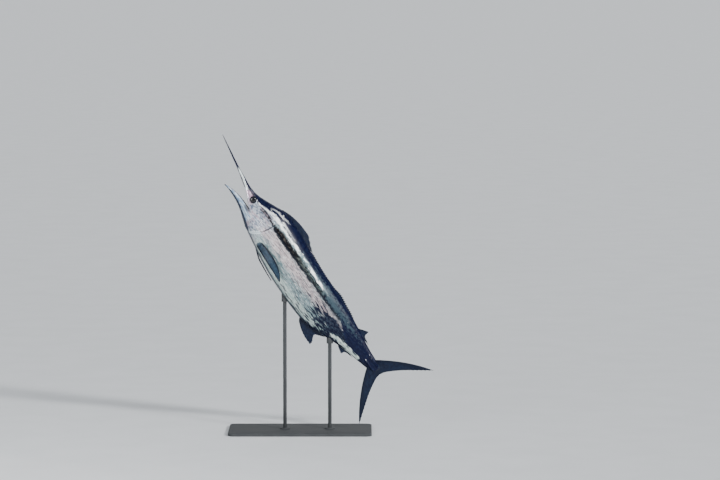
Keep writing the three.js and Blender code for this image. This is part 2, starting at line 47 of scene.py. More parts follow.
# The skin's shape
# One skin covers the firm flesh of the whole fish, from the bill's tip to the tail root, round
# both jaws and down the throat. The side view and the width of the shut body give each section.
def through(points):
    """A smooth line through points (x, value) that never swings past them."""
    at, value = np.array(points, float).T
    step = np.diff(at)
    slope = np.diff(value) / step
    tangent = np.concatenate([slope[:1], np.zeros(len(slope) - 1), slope[-1:]])
    before, after = slope[:-1], slope[1:]
    turns = before * after <= 0
    total = np.where(turns, 1, before + after)
    tangent[1:-1] = np.where(turns, 0, 2 * before * after / total)

    def line(x):
        x = np.clip(x, at[0], at[-1])
        i = np.clip(np.searchsorted(at, x, side="right") - 1, 0, len(step) - 1)
        t = (x - at[i]) / step[i]
        return (
            (1 + 2 * t) * (1 - t) ** 2 * value[i]
            + t * (1 - t) ** 2 * step[i] * tangent[i]
            + t**2 * (3 - 2 * t) * value[i + 1]
            + t**2 * (t - 1) * step[i] * tangent[i + 1]
        )

    return line


# The fish is drawn level in a frame of its own, in metres: x runs from the closed jaw's tip to
# the tail, z points to the back and y to its right side.
BACK = through([
    (-0.387, 0.1985), (-0.2, 0.168), (-0.028, 0.139), (0.055, 0.13), (0.11, 0.123),
    (0.155, 0.12), (0.205, 0.122), (0.253, 0.131), (0.327, 0.157), (0.427, 0.199),
    (0.518, 0.234), (0.6, 0.243), (0.782, 0.233), (0.966, 0.213), (1.122, 0.199),
    (1.257, 0.19), (1.417, 0.186), (1.606, 0.175), (1.785, 0.155), (1.914, 0.134),
    (2.052, 0.116), (2.15, 0.109), (2.218, 0.096),
])
BELLY = through([
    (-0.387, 0.1935), (-0.2, 0.153), (-0.028, 0.114), (0.055, 0.084), (0.11, 0.048),
    (0.155, 0.022), (0.205, -0.014), (0.252, -0.05), (0.313, -0.1), (0.35, -0.114),
    (0.406, -0.131), (0.494, -0.152), (0.624, -0.176), (0.795, -0.205), (0.941, -0.221),
    (1.087, -0.228), (1.244, -0.231), (1.385, -0.226), (1.48, -0.212), (1.569, -0.188),
    (1.672, -0.143), (1.801, -0.092), (1.914, -0.058), (2.052, -0.024), (2.15, 0.002),
    (2.218, 0.022),
])
HALF_WIDTH = through([
    (-0.387, 0.003), (-0.2, 0.009), (-0.028, 0.014), (0.055, 0.023), (0.11, 0.033),
    (0.155, 0.041), (0.205, 0.051), (0.253, 0.062), (0.327, 0.079), (0.427, 0.098),
    (0.518, 0.111), (0.624, 0.118), (0.782, 0.119), (0.966, 0.115), (1.122, 0.109),
    (1.257, 0.101), (1.417, 0.089), (1.606, 0.07), (1.785, 0.049), (1.914, 0.036),
    (2.052, 0.027), (2.15, 0.02), (2.218, 0.009),
])
WIDEST = through([(-0.387, 0.5), (0.11, 0.5), (0.313, 0.47), (0.6, 0.5), (1.3, 0.53), (2.218, 0.5)])
ELLIPSE, LEAN_BACK, FULL_BELLY = 2, 1.92, 2.15
CORNER_X, CORNER_Z = 0.313, -0.012
UPPER_LIP = through([
    (-0.02, 0.114), (0.055, 0.091), (0.11, 0.079), (0.155, 0.066), (0.205, 0.043),
    (0.258, 0.014), (CORNER_X, CORNER_Z),
])
JAW_TOP = through([
    (-0.01, -0.057), (0.02, -0.043), (0.06, -0.03), (0.143, -0.013), (0.2, -0.009),
    (0.252, -0.009), (CORNER_X, CORNER_Z),
])
JAW_BOTTOM = through([
    (-0.01, -0.062), (0.02, -0.058), (0.064, -0.056), (0.143, -0.06), (0.2, -0.068),
    (0.252, -0.08), (CORNER_X, -0.1),
])
JAW_HALF = through([
    (-0.01, 0.003), (0.02, 0.014), (0.06, 0.022), (0.143, 0.035), (0.2, 0.048),
    (0.252, 0.061), (CORNER_X, 0.076),
])
BILL_TIP, JAW_TIP, TAIL_ROOT = -0.387, -0.010, 2.218
THROAT_END, THROAT_Z, LINING_GAP = 0.392, -0.030, 0.0006
VAULT_RISE, THROAT_RISE, THROAT_SWELL, THROAT_DROP = 0.020, 0.020, 0.014, 0.044
LOWEST_LIP, LIP_LINE_END = math.radians(-40), 0.7
HEAD_END, STOCK_END = 0.640, 2.03
BILL_ROUND, JAW_ROUND, TAIL_ROUND = 0.004, 0.006, 0.045
SAME, AT_RIM = 1e-6, 0.99999


def smooth(x, low, high):
    """0 below low, 1 above high and an S-curve between."""
    t = np.clip((x - low) / (high - low), 0, 1)
    return t * t * (3 - 2 * t)


def mix(a, b, t):
    return a + (b - a) * t


def fullness(x, up):
    """The power of the section's curve, which is an ellipse at the bill."""
    deep = smooth(x, 0.1, 0.5)
    return np.where(up, mix(ELLIPSE, LEAN_BACK, deep), mix(ELLIPSE, FULL_BELLY, deep))


def middle_at(x):
    """The height at which the section is widest."""
    return mix(BELLY(x), BACK(x), WIDEST(x))


def section(x, angle):
    """A point of the shut body's section: angle 0 is the right side, a quarter turn the back."""
    middle = middle_at(x)
    up = np.sin(angle) >= 0
    power = 2 / fullness(x, up)
    rise = np.where(up, BACK(x) - middle, middle - BELLY(x))
    z = middle + rise * np.sign(np.sin(angle)) * np.abs(np.sin(angle)) ** power
    y = HALF_WIDTH(x) * np.sign(np.cos(angle)) * np.abs(np.cos(angle)) ** power
    return y, z


def side_at(x, z):
    """The body's half width at a station and a height."""
    middle = middle_at(x)
    up = z > middle
    t = np.where(up, (z - middle) / (BACK(x) - middle), (middle - z) / (middle - BELLY(x)))
    power = fullness(x, up)
    return HALF_WIDTH(x) * np.maximum(0, 1 - np.clip(t, 0, 1) ** power) ** (1 / power)


def lip_angle(x):
    """Where the upper jaw's edge lies round the section, and behind it the flank's line."""
    middle = middle_at(x)
    drop = np.clip((middle - UPPER_LIP(x)) / (middle - BELLY(x)), 0, 1)
    edge = np.maximum(-np.arcsin(drop ** (fullness(x, False) / 2)), LOWEST_LIP)
    return edge * (1 - smooth(x, CORNER_X, LIP_LINE_END))


def spaced(*stretches):
    """Stations along the fish: each stretch is (from, to, about how far apart)."""
    stations = []
    for low, high, apart in stretches:
        count = max(1, round((high - low) / apart))
        stations += list(np.linspace(low, high, count, endpoint=False))
    return np.array(stations + [stretches[-1][1]])


# The level fish is pitched up and set over the stand, as the animal leaps
PITCH = math.radians(54)
AXIS_X, AXIS_Z = -0.640, 2.318


def tipped(x, y, z):
    """Points of the fish's own frame, as an array of points where the part stands."""
    across = math.cos(PITCH) * x + math.sin(PITCH) * z + AXIS_X
    height = -math.sin(PITCH) * x + math.cos(PITCH) * z + AXIS_Z
    return np.stack(np.broadcast_arrays(across, y, height), axis=-1)


def mark(piece, name, values):
    """Keeps one number for each vertex, for the finish to read."""
    layer = piece.data.attributes.new(name, "FLOAT", "POINT")
    count = len(piece.data.vertices)
    layer.data.foreach_set("value", np.broadcast_to(values, count).astype(np.float32))


def shaped_grid(name, along, around, place, notes=None):
    """A flat grid whose crossings are moved to place(i, v): i counts cells along it, v goes from
    0 to 1 across it. The fish's own frame is then tipped up. notes(i, v) gives what to mark."""
    bpy.ops.mesh.primitive_grid_add(x_subdivisions=along, y_subdivisions=around, size=1)
    piece = bpy.context.object
    piece.name = piece.data.name = name.replace("_", "-")
    flat = np.empty(len(piece.data.vertices) * 3)
    piece.data.vertices.foreach_get("co", flat)
    i = np.rint((flat[0::3] + 0.5) * along).astype(int)
    v = flat[1::3] + 0.5
    x, y, z = np.broadcast_arrays(*place(i, v))
    piece.data.vertices.foreach_set("co", tipped(x, y, z).ravel())
    lie = piece.data.attributes.new("lie", "FLOAT_VECTOR", "POINT")
    lie.data.foreach_set("vector", np.stack([x, y, z], axis=-1).ravel())
    for key, values in (notes(i, v) if notes else {}).items():
        mark(piece, key, values)
    piece.data.update()
    piece.select_set(False)
    return piece


MERGE_DISTANCE, SMOOTH_ANGLE = 0.00002, math.radians(50)


def closed(piece):
    """Joins the vertices that share a place and turns every face outward."""
    bpy.ops.object.select_all(action="DESELECT")
    piece.select_set(True)
    bpy.context.view_layer.objects.active = piece
    bpy.ops.object.mode_set(mode="EDIT")
    bpy.ops.mesh.select_all(action="SELECT")
    bpy.ops.mesh.remove_doubles(threshold=MERGE_DISTANCE)
    bpy.ops.mesh.normals_make_consistent(inside=False)
    bpy.ops.object.mode_set(mode="OBJECT")
    bpy.ops.object.shade_smooth_by_angle(angle=SMOOTH_ANGLE)
    piece.select_set(False)
    return piece


# The rings lean with the gill slit, so that one of them runs along the gill cover's free edge
SLIT = through([
    (-0.23, 0.415), (-0.165, 0.44), (-0.12, 0.482), (-0.062, 0.522), (-0.01, 0.546),
    (0.05, 0.556), (0.092, 0.556), (0.128, 0.543), (0.19, 0.518), (0.3, 0.505),
])
SLIT_STATION, LEAN_FROM, LEAN_TO = 0.545, 0.33, 0.76


def within(value, rise, fall):
    """1 between two fades, each given as (start, end), and 0 outside them."""
    return smooth(value, *rise) * (1 - smooth(value, *fall))


def lean(x, angle):
    """How far a ring's point moves along the fish to follow the slit."""
    _, z = section(np.full_like(angle, SLIT_STATION), angle)
    return (SLIT(z) - SLIT_STATION) * within(x, (LEAN_FROM, SLIT_STATION), (SLIT_STATION, LEAN_TO))


def crease(distance, width):
    return np.exp(-((distance / width) ** 2))


COVER_RAISE, COVER_FROM, COVER_HEIGHTS = 0.007, 0.4, ((-0.165, -0.105), (0.084, 0.118))
SLIT_WIDTH, GROOVE_DEPTH, RIM_RAISE = 0.0022, 0.004, 0.0016
PREOPERCLE = through([(-0.13, 0.395), (-0.07, 0.41), (-0.02, 0.402), (0.05, 0.38), (0.1, 0.35)])
CHEEK_BONE = through([(-0.1, 0.35), (-0.04, 0.36), (0.02, 0.345), (0.06, 0.325)])
PREOPERCLE_HEIGHTS, CHEEK_HEIGHTS = ((-0.14, -0.09), (0.08, 0.11)), ((-0.1, -0.05), (0.03, 0.06))
BONE_WIDTH, PREOPERCLE_DEPTH, CHEEK_DEPTH = 0.0045, 0.0032, 0.0024
FAN_RAISE, FAN_SPACING, FAN_TOP = 0.0016, 0.0065, (-0.135, -0.115)
EYE_X, EYE_Z, EYE_RADIUS = 0.260, 0.072, 0.029
ORBIT_RAISE, CUP_DEPTH, BROW_RAISE, BROW_ABOVE = 0.0026, 0.012, 0.003, 0.036
LIP_RAISE, LIP_ABOVE, MAXILLA_RAISE, MAXILLA_ABOVE = 0.0042, 0.0055, 0.0032, 0.024
NOSTRILS, NOSTRIL_DEPTH, NOSTRIL_RADIUS = [(0.203, 0.088), (0.217, 0.084)], 0.006, 0.0036
SHEATH_HALF, SHEATH_RAISE, SHEATH_STRETCH = 0.013, 0.004, ((0.46, 0.52), (1.6, 1.74))
LINE_DEPTH, LINE_LEVEL, ARCH_X, ARCH_RISE = 0.0009, 0.02, 0.66, 0.055
LINE_STRETCH = ((0.6, 0.66), (1.95, 2.05))
KEEL_X, KEEL_LENGTH, KEEL_HEIGHT, KEEL_THICK = 2.122, 0.074, 0.0105, 0.0075
KEEL_LEVELS = (0.032, 0.082)
SHOULDER_X, SHOULDER_Z, SHOULDER_RAISE = 0.578, -0.122, 0.009


def relief(x, y, z, ring):
    """How far the skin stands out from the plain section: the raised gill cover and the bones
    of the cheek, the rim and cup of the orbit, the lip, the nostrils, the flesh round the
    pectoral fin's root, the sheath that the dorsal fin folds into, and the keels at the tail."""
    past = ring - SLIT_STATION
    window = within(z, *COVER_HEIGHTS)
    behind = smooth(past, 0, SLIT_WIDTH)
    cover = COVER_RAISE * smooth(ring, COVER_FROM, SLIT_STATION) * window * (1 - behind)
    groove = -GROOVE_DEPTH * crease(past - 0.006, 0.005) * window * behind
    rim = RIM_RAISE * crease(past + 0.007, 0.005) * window * (1 - behind)
    bones = -PREOPERCLE_DEPTH * crease(x - PREOPERCLE(z), BONE_WIDTH) * within(z, *PREOPERCLE_HEIGHTS)
    bones -= CHEEK_DEPTH * crease(x - CHEEK_BONE(z), BONE_WIDTH) * within(z, *CHEEK_HEIGHTS)
    ahead = SLIT(z) - x
    fan = FAN_RAISE * np.sin(ahead / FAN_SPACING) * smooth(x, 0.36, 0.4) * smooth(ahead, 0.004, 0.016)
    fan = fan * (1 - smooth(z, *FAN_TOP)) * (np.abs(y) > 0.004)
    away = np.hypot(x - EYE_X, z - EYE_Z) - EYE_RADIUS
    orbit = ORBIT_RAISE * crease(away - 0.004, 0.0042)
    cup = -CUP_DEPTH * (1 - smooth(away, -0.007, 0.001))
    brow = BROW_RAISE * crease(z - EYE_Z - BROW_ABOVE, 0.008) * crease(x - EYE_X, 0.04)
    over_lip = z - UPPER_LIP(x)
    lip = LIP_RAISE * crease(over_lip - LIP_ABOVE, 0.0052)
    lip = lip * within(x, (0.095, 0.14), (0.3, CORNER_X + 0.012))
    maxilla = MAXILLA_RAISE * crease(over_lip - MAXILLA_ABOVE, 0.007)
    maxilla = maxilla * within(x, (0.2, 0.25), (0.3, 0.325))
    pits = 0
    for pit_x, pit_z in NOSTRILS:
        off_pit = np.hypot((x - pit_x) / 1.3, z - pit_z)
        pits = pits - NOSTRIL_DEPTH * crease(off_pit, NOSTRIL_RADIUS)
    sheath = SHEATH_RAISE * crease(np.abs(y) - SHEATH_HALF, 0.006)
    sheath = sheath * within(x, *SHEATH_STRETCH) * (z > 0)
    arch = ARCH_RISE * crease(x - ARCH_X, 0.09)
    line = -LINE_DEPTH * crease(z - LINE_LEVEL - arch, 0.004) * within(x, *LINE_STRETCH)
    keels = 0
    for level in KEEL_LEVELS:
        length = np.sqrt(np.clip(1 - ((x - KEEL_X) / KEEL_LENGTH) ** 2, 0, 1))
        keels = keels + KEEL_HEIGHT * length * crease(z - level, KEEL_THICK)
    shoulder = SHOULDER_RAISE * crease(x - SHOULDER_X, 0.022) * crease(z - SHOULDER_Z, 0.026)
    still = smooth(np.hypot(x - CORNER_X, z - CORNER_Z), 0.001, 0.015)
    return still * (
        cover + groove + rim + bones + fan + orbit + cup + brow + lip + maxilla
        + pits + sheath + line + keels + shoulder
    )


def raised(x, angle, ring, hold):
    """The skin at station x, pushed out square to the section by its relief. hold is 0 where
    an edge has to stay in place."""
    y, z = section(x, angle)
    y2, z2 = section(x, angle + 0.01)
    y1, z1 = section(x, angle - 0.01)
    length = np.maximum(np.hypot(y2 - y1, z2 - z1), 1e-9)
    out = relief(x, y, z, ring) * hold
    return y + out * (z2 - z1) / length, z - out * (y2 - y1) / length


def rounded(x, tip, length):
    """A tip's rounding: 0 at the tip, 1 from length behind it."""
    return np.sqrt(1 - (1 - np.clip(np.abs(x - tip) / length, 0, 1)) ** 2)


UPPER_STATIONS = spaced(
    (BILL_TIP, BILL_TIP + 0.006, 0.001), (BILL_TIP + 0.006, 0.06, 0.008), (0.06, CORNER_X, 0.0033),
    (CORNER_X, SLIT_STATION, 0.0034), (SLIT_STATION, SLIT_STATION + 0.002, 0.001),
    (SLIT_STATION + 0.002, HEAD_END, 0.0038), (HEAD_END, STOCK_END, 0.0085),
    (STOCK_END, TAIL_ROOT - 0.02, 0.005), (TAIL_ROOT - 0.02, TAIL_ROOT, 0.0015),
)
JAW_STATIONS = spaced((JAW_TIP, JAW_TIP + 0.006, 0.001), (JAW_TIP + 0.006, CORNER_X, 0.004))
CORNER_INDEX = int(np.argmin(np.abs(UPPER_STATIONS - CORNER_X)))
LOWER_STATIONS = np.concatenate([JAW_STATIONS, UPPER_STATIONS[CORNER_INDEX + 1:]])
THROAT_STATIONS = spaced((CORNER_X, THROAT_END, 0.004))[1:]
ROOF_STATIONS = np.concatenate([UPPER_STATIONS[:CORNER_INDEX + 1], THROAT_STATIONS])
FLOOR_STATIONS = np.concatenate([JAW_STATIONS, THROAT_STATIONS])
UPPER_ROUND, LOWER_ROUND, MOUTH_ROUND = 76, 68, 40


def body_tips(x, y, z):
    """Draws the bill's tip and the tail root in to a point."""
    middle = middle_at(x)
    draw = rounded(x, BILL_TIP, BILL_ROUND) * rounded(x, TAIL_ROOT, TAIL_ROUND)
    return x, y * draw, middle + (z - middle) * draw


def upper_angle(x, v):
    return mix(lip_angle(x), math.pi - lip_angle(x), v)


def upper_skin(i, v):
    """The back and the upper jaw's outside, down to the lip and the flank's line."""
    x = UPPER_STATIONS[i]
    leaned = x + lean(x, upper_angle(x, v))
    seam = smooth(np.minimum(v, 1 - v), 0, 0.02)
    hold = np.where(x < CORNER_X + 0.001, seam, 1)
    y, z = raised(leaned, upper_angle(leaned, v), x, hold)
    return body_tips(leaned, y, z)


def lower_angle(x, v):
    return mix(math.pi - lip_angle(x), 2 * math.pi + lip_angle(x), v)


def lower_skin(i, v):
    """The belly, and in front of the mouth's corner the lower jaw's outside."""
    x = LOWER_STATIONS[i]
    leaned = x + lean(x, lower_angle(x, v))
    y, z = raised(leaned, lower_angle(leaned, v), x, 1)
    body_x, body_y, body_z = body_tips(leaned, y, z)
    at_corner = np.full_like(v, CORNER_X)
    _, corner_z = section(at_corner, lower_angle(at_corner, v))
    down = np.clip((CORNER_Z - corner_z) / (CORNER_Z - BELLY(CORNER_X)), 0, 1)
    shared = side_at(x, mix(UPPER_LIP(x), BELLY(x), down))
    own = JAW_HALF(x) * np.sqrt(1 - down**2) ** 0.9
    half = mix(own, np.where(down > 0.9999, 0, shared), smooth(x, 0.2, CORNER_X))
    draw = rounded(x, JAW_TIP, JAW_ROUND)
    jaw_z = mix(JAW_TOP(x), JAW_BOTTOM(x), down)
    jaw_z = mix(mix(JAW_TOP(x), JAW_BOTTOM(x), 0.5), jaw_z, draw)
    jaw = x < CORNER_X - SAME
    jaw_y = np.where(v < 0.5, -1, 1) * half * draw
    return np.where(jaw, x, body_x), np.where(jaw, jaw_y, body_y), np.where(jaw, jaw_z, body_z)


def down_throat(x):
    """0 at the mouth's corner and 1 at the throat's end."""
    return np.clip((x - CORNER_X) / (THROAT_END - CORNER_X), 0, 1)


def throat_edge(x):
    """The side line of the throat behind the mouth's corner, drawn in to its end."""
    t = down_throat(x)
    corner_y = side_at(CORNER_X, CORNER_Z)
    return corner_y * (1 - t) ** 0.65 * (1 - 0.25 * smooth(t, 0, 0.3)), mix(CORNER_Z, THROAT_Z, t)


def palate(i, v):
    """The roof of the mouth, and in front of it the bill's underside."""
    x = ROOF_STATIONS[i]
    edge_y, edge_z = section(x, lip_angle(x))
    cos = np.cos(math.pi * v)
    middle = middle_at(x)
    across = np.abs(cos) * edge_y / HALF_WIDTH(x)
    ellipse = middle - (middle - BELLY(x)) * np.sqrt(np.clip(1 - across**2, 0, 1))
    vault = VAULT_RISE * smooth(x, 0.06, 0.16) * smooth(1 - np.abs(cos), 0.1, 0.6)
    flat = np.where(x > -0.02, UPPER_LIP(x) + vault + LINING_GAP, -1)
    z = np.where(np.abs(cos) > AT_RIM, edge_z, np.maximum(ellipse, flat))
    out_x, out_y, out_z = body_tips(x, edge_y * cos, z)
    throat_y, throat_z = throat_edge(x)
    t = down_throat(x)
    rise = THROAT_RISE + THROAT_SWELL * np.sin(math.pi * t)
    roof = throat_z + rise * np.sqrt(1 - t) * (1 - cos**2)
    inside = x > CORNER_X + SAME
    return out_x, np.where(inside, throat_y * cos, out_y), np.where(inside, roof, out_z)


def jaw_floor(i, v):
    """The inside of the lower jaw: a rim on each side and the mouth's floor between."""
    x = FLOOR_STATIONS[i]
    cos = np.cos(math.pi * v)
    own = JAW_HALF(x)
    half = mix(own, side_at(x, UPPER_LIP(x)), smooth(x, 0.2, CORNER_X))
    draw = rounded(x, JAW_TIP, JAW_ROUND)
    deep = 0.5 * (JAW_TOP(x) - JAW_BOTTOM(x)) * smooth(1 - np.abs(cos), 0.06, 0.5)
    deep = deep * smooth(x, 0.01, 0.09) + LINING_GAP * (np.abs(cos) < AT_RIM)
    top = mix(mix(JAW_TOP(x), JAW_BOTTOM(x), 0.5), JAW_TOP(x), draw)
    throat_y, throat_z = throat_edge(x)
    t = down_throat(x)
    base = throat_z - THROAT_DROP * np.sqrt(1 - t) * smooth(1 - np.abs(cos), 0.03, 0.5)
    inside = x > CORNER_X + SAME
    y = np.where(inside, throat_y, half * draw) * cos
    return x, y, np.where(inside, base, top - deep)


skin = shaped_grid("skin", len(UPPER_STATIONS) - 1, UPPER_ROUND, upper_skin)
lower = shaped_grid("lower_skin", len(LOWER_STATIONS) - 1, LOWER_ROUND, lower_skin)
roof = shaped_grid("palate", len(ROOF_STATIONS) - 1, MOUTH_ROUND, palate)
mouth_floor = shaped_grid("mouth_floor", len(FLOOR_STATIONS) - 1, MOUTH_ROUND, jaw_floor)
for part, inside in ((lower, 0), (roof, 1), (mouth_floor, 1), (skin, 0)):
    mark(part, "mouth", inside)
    part.select_set(True)
bpy.context.view_layer.objects.active = skin
bpy.ops.object.join()
closed(skin)

# The skin's markings
# The back is blue-black and the flank silver, with a mottled dark band and a pale belly. A bright
# streak between the back and the band is a painted highlight of the sun's glint, as are the glints
# on the nape and the bill, and the teal patch on the rear of the back is a painted sheen. The dark
# lines under the belly and in the gill slit are painted shade, and the jaw's dark lower edge is
# partly painted shade. Each marking is kept on the skin as its distance inside its own edge, in
# metres, which the finish breaks up and fills with its colour.
NAVY_EDGE = through([
    (-0.39, 0.0), (0.02, 0.05), (0.1, 0.052), (0.15, 0.105), (0.2, 0.111), (0.3, 0.104),
    (0.36, 0.118), (0.42, 0.136), (0.5, 0.156), (0.58, 0.156), (0.7, 0.147), (0.9, 0.145),
    (1.1, 0.139), (1.3, 0.128), (1.42, 0.110), (1.58, 0.086), (1.72, 0.03), (1.85, -0.012),
    (2.2, -0.02),
])
# Painted highlight: the centre line and half width of the sun's glint along the upper flank, a bright
# streak.
GLINT_LINE = through([
    (0.34, 0.098), (0.4, 0.118), (0.48, 0.142), (0.6, 0.143), (0.72, 0.138), (0.9, 0.134),
    (1.0, 0.128), (1.1, 0.121), (1.2, 0.115), (1.4, 0.108),
])
GLINT_HALF = through([
    (0.3, -0.01), (0.36, 0.005), (0.45, 0.010), (0.55, 0.011), (0.66, 0.007), (0.8, 0.006),
    (1.0, 0.006), (1.15, 0.008), (1.28, 0.005), (1.36, -0.008), (2.2, -0.02),
])
BAND_LOW = through([
    (0.44, 0.094), (0.56, 0.082), (0.6, 0.064), (0.95, 0.056), (1.4, 0.057), (1.75, 0.062),
])
BAND_HIGH = through([
    (0.44, 0.098), (0.56, 0.106), (0.7, 0.118), (0.95, 0.118), (1.3, 0.112), (1.75, 0.15),
])
REAR_EDGE = through([
    (-0.25, 1.56), (-0.15, 1.5), (-0.1, 1.46), (-0.03, 1.4), (0.02, 1.47), (0.045, 1.75),
])
STOCK_STREAK = through([(1.66, -0.088), (1.72, -0.068), (1.8, -0.050), (1.9, -0.036), (2.02, -0.016)])
# Painted highlight: the sun's glint along the upper side of the bill's base.
BILL_GLINT_LINE = through([(-0.06, 0.134), (0.05, 0.113), (0.11, 0.096), (0.16, 0.084)])
CHEEK_LINE = through([(0.3, 0.066), (0.38, 0.078), (0.43, 0.086), (0.5, 0.091), (0.58, 0.091)])
# The jaw's dark lower edge: partly its own dark blue and partly painted shade on the jaw's underside.
JAW_SHADE_EDGE = through([
    (-0.01, -0.052), (0.14, -0.040), (0.2, -0.045), (0.313, -0.075), (0.45, -0.116), (0.6, -0.15),
])
CHEEK_END, BLUSH_LOW, BLUSH_HIGH, END_SLANT = 0.36, -0.045, 0.060, 0.3
STOCK_HALF, BILL_GLINT_HALF, CHEEK_LINE_HALF = 0.017, 0.008, 0.0055
SLIT_SHADE_HALF, GILL_BAR_HALF, SOCKET_HALF = 0.006, 0.017, 0.004


def spot(x, z, at_x, at_z, long, high):
    """Distance inside an oval of that half length and half height."""
    return high * (1 - np.hypot((x - at_x) / long, (z - at_z) / high))


flat = np.empty(len(skin.data.vertices) * 3)
skin.data.attributes["lie"].data.foreach_get("vector", flat)
x, y, z = flat.reshape(-1, 3).T
front = smooth(x, 0.5, 0.62)
inside = np.empty(len(x))
skin.data.attributes["mouth"].data.foreach_get("value", inside)
over_belly = z - BELLY(x)
past_cheek = x - CHEEK_END
mark(skin, "lining", inside * smooth(x, -0.02, 0.08))
mark(skin, "pale_belly", 0.035 - np.abs(over_belly - 0.055) + 0.02 * (1 - front))
mark(skin, "cheek", 0.06 - END_SLANT * np.maximum(past_cheek, 0))
jaw_high = mix(JAW_TOP(x), -0.04, smooth(x, 0.2, CORNER_X)) + 0.01
mark(skin, "jaw", np.minimum(jaw_high - z, 0.38 - x))
mark(skin, "blush", np.minimum(np.minimum(z - BLUSH_LOW, BLUSH_HIGH - z), past_cheek * END_SLANT))
mark(skin, "rear", np.minimum(x - REAR_EDGE(z), 0.3) * END_SLANT)
# Painted shade: a dark line along the belly's underside.
belly_shade = mix(0.020, 0.021, smooth(x, 1.1, 1.6)) - over_belly
mark(skin, "belly_shade", np.minimum(belly_shade, (x - 0.40) * END_SLANT))
mark(skin, "band", np.minimum(z - BAND_LOW(x), BAND_HIGH(x) - z))
mark(skin, "navy", z - NAVY_EDGE(x))
mark(skin, "band_foot", 0.010 - np.abs(z - BAND_LOW(x) - 0.007) - 0.02 * smooth(x, 1.6, 1.72))
# A painted sheen: a teal-grey patch of reflection on the rear of the back.
mark(skin, "sheen", spot(x, z, 1.38, 0.115 - 0.04 * (x - 1.38), 0.36, 0.032))
# The bright streak is a painted highlight, the sun's glint on the upper flank.
mark(skin, "streak", GLINT_HALF(x) - np.abs(z - GLINT_LINE(x)))
# Two painted highlights on the nape in front of the dorsal fin, where the sun glints.
nape = np.maximum(
    spot(x, z, 0.53, 0.196 + 0.2 * (x - 0.53), 0.085, 0.0065),
    spot(x, z, 0.545 + 0.6 * (0.208 - z), 0.208, 0.009, 0.019),
)
mark(skin, "nape", nape - 0.05 * smooth(z, BACK(x) - 0.026, BACK(x) - 0.010))
stock_streak = np.minimum(STOCK_HALF, (x - 1.68) * 0.5) - np.abs(z - STOCK_STREAK(x))
mark(skin, "stock_streak", stock_streak - 0.1 * smooth(x, 2.0, 2.1))
# A painted highlight on the bill's base, the sun's glint.
flash = np.minimum(BILL_GLINT_HALF, (x + 0.06) * 0.2) - np.abs(z - BILL_GLINT_LINE(x))
mark(skin, "flash", flash - 0.1 * smooth(x, 0.15, 0.2))
cheek_line = CHEEK_LINE_HALF - np.abs(z - CHEEK_LINE(x))
mark(skin, "cheek_line", cheek_line - 0.02 * smooth(-x, -0.37, -0.33) - 0.02 * smooth(x, 0.55, 0.58))
mark(skin, "pink", spot(x, z, 0.205, 0.080, 0.05, 0.026))
# The jaw's dark lower edge, partly its own colour and partly painted shade on its underside.
mark(skin, "jaw_edge_shade", np.minimum(JAW_SHADE_EDGE(x) - z, 0.02) - 0.1 * smooth(x, 0.44, 0.5))
mark(skin, "lip_shade", spot(x, z, 0.292, -0.018, 0.044, 0.017))
# Painted shade: a soft dark line along the gill slit, fading towards its top and bottom.
slit = SLIT_SHADE_HALF - np.abs(x - SLIT(z) - 0.004)
mark(skin, "slit", slit - 0.03 * smooth(z, 0.09, 0.12) - 0.03 * smooth(-z, 0.0, 0.08))
gill_bar = GILL_BAR_HALF - np.abs(x - SLIT(z) - 0.006)
mark(skin, "gill_bar", gill_bar - 0.1 * smooth(z, -0.05, -0.02) - 0.1 * smooth(-z, 0.13, 0.16))
socket = SOCKET_HALF - np.abs(np.hypot(x - EYE_X, z - EYE_Z) - EYE_RADIUS)
mark(skin, "socket", np.where(np.abs(y) > 0.01, socket, -1))

# The skin's finish
# Wet skin with very fine long scales under a clear layer of slime. The silver flank has a
# little of a metal's sheen, and the dark back is broken by paler mottling.
def feed(material, node, inputs):
    """Sets a shader node's inputs, each to a value or to another node's output."""
    for key, value in inputs.items():
        if isinstance(value, bpy.types.NodeSocket):
            material.node_tree.links.new(value, node.inputs[key])
        else:
            node.inputs[key].default_value = value


def add(material, kind, inputs, out=0, **settings):
    """A new shader node's output."""
    node = material.node_tree.nodes.new("ShaderNode" + kind)
    for key, value in settings.items():
        setattr(node, key, value)
    feed(material, node, inputs)
    return node.outputs[out]


def new_finish(name):
    material = bpy.data.materials.new(name)
    material.use_nodes = True
    return material, material.node_tree.nodes["Principled BSDF"]


def note(material, name, out="Fac"):
    return add(material, "Attribute", {}, out, attribute_name=name)


def calc(material, operation, *values):
    return add(material, "Math", dict(enumerate(values)), operation=operation)


def grain(material, where, stretch, detail=2.0):
    """Noise around 0 with stretch lumps to a metre on each axis."""
    spread = add(material, "VectorMath", {0: where, 1: stretch}, operation="MULTIPLY")
    lumps = add(material, "TexNoise", {"Vector": spread, "Scale": 1.0, "Detail": detail})
    return calc(material, "SUBTRACT", lumps, 0.5)


def ramp(material, value, low, high, start=0.0, end=1.0):
    inputs = {"Value": value, "From Min": low, "From Max": high, "To Min": start, "To Max": end}
    return add(material, "MapRange", inputs, interpolation_type="SMOOTHSTEP")


def tint(material, amount, under, over):
    """The colour under with over laid on it by that amount."""
    return add(material, "Mix", {0: amount, 6: under, 7: over}, 2, data_type="RGBA")


def colour(red, green, blue):
    return (red, green, blue, 1.0)


def marking(material, name, wobble, ragged, soft):
    """1 inside a marking and 0 outside it, with its edge broken by the wobble and blurred."""
    moved = calc(material, "MULTIPLY_ADD", wobble, ragged, note(material, name))
    return ramp(material, moved, -soft, soft)


wet, shine = new_finish("wet skin")
lie = note(wet, "lie", "Vector")
long_lumps = grain(wet, lie, (7.0, 14.0, 38.0), 3.0)
mottle = grain(wet, lie, (34.0, 34.0, 80.0), 4.0)
smear = grain(wet, lie, (13.0, 60.0, 70.0), 4.0)
along = add(wet, "SeparateXYZ", {0: lie}, 0)


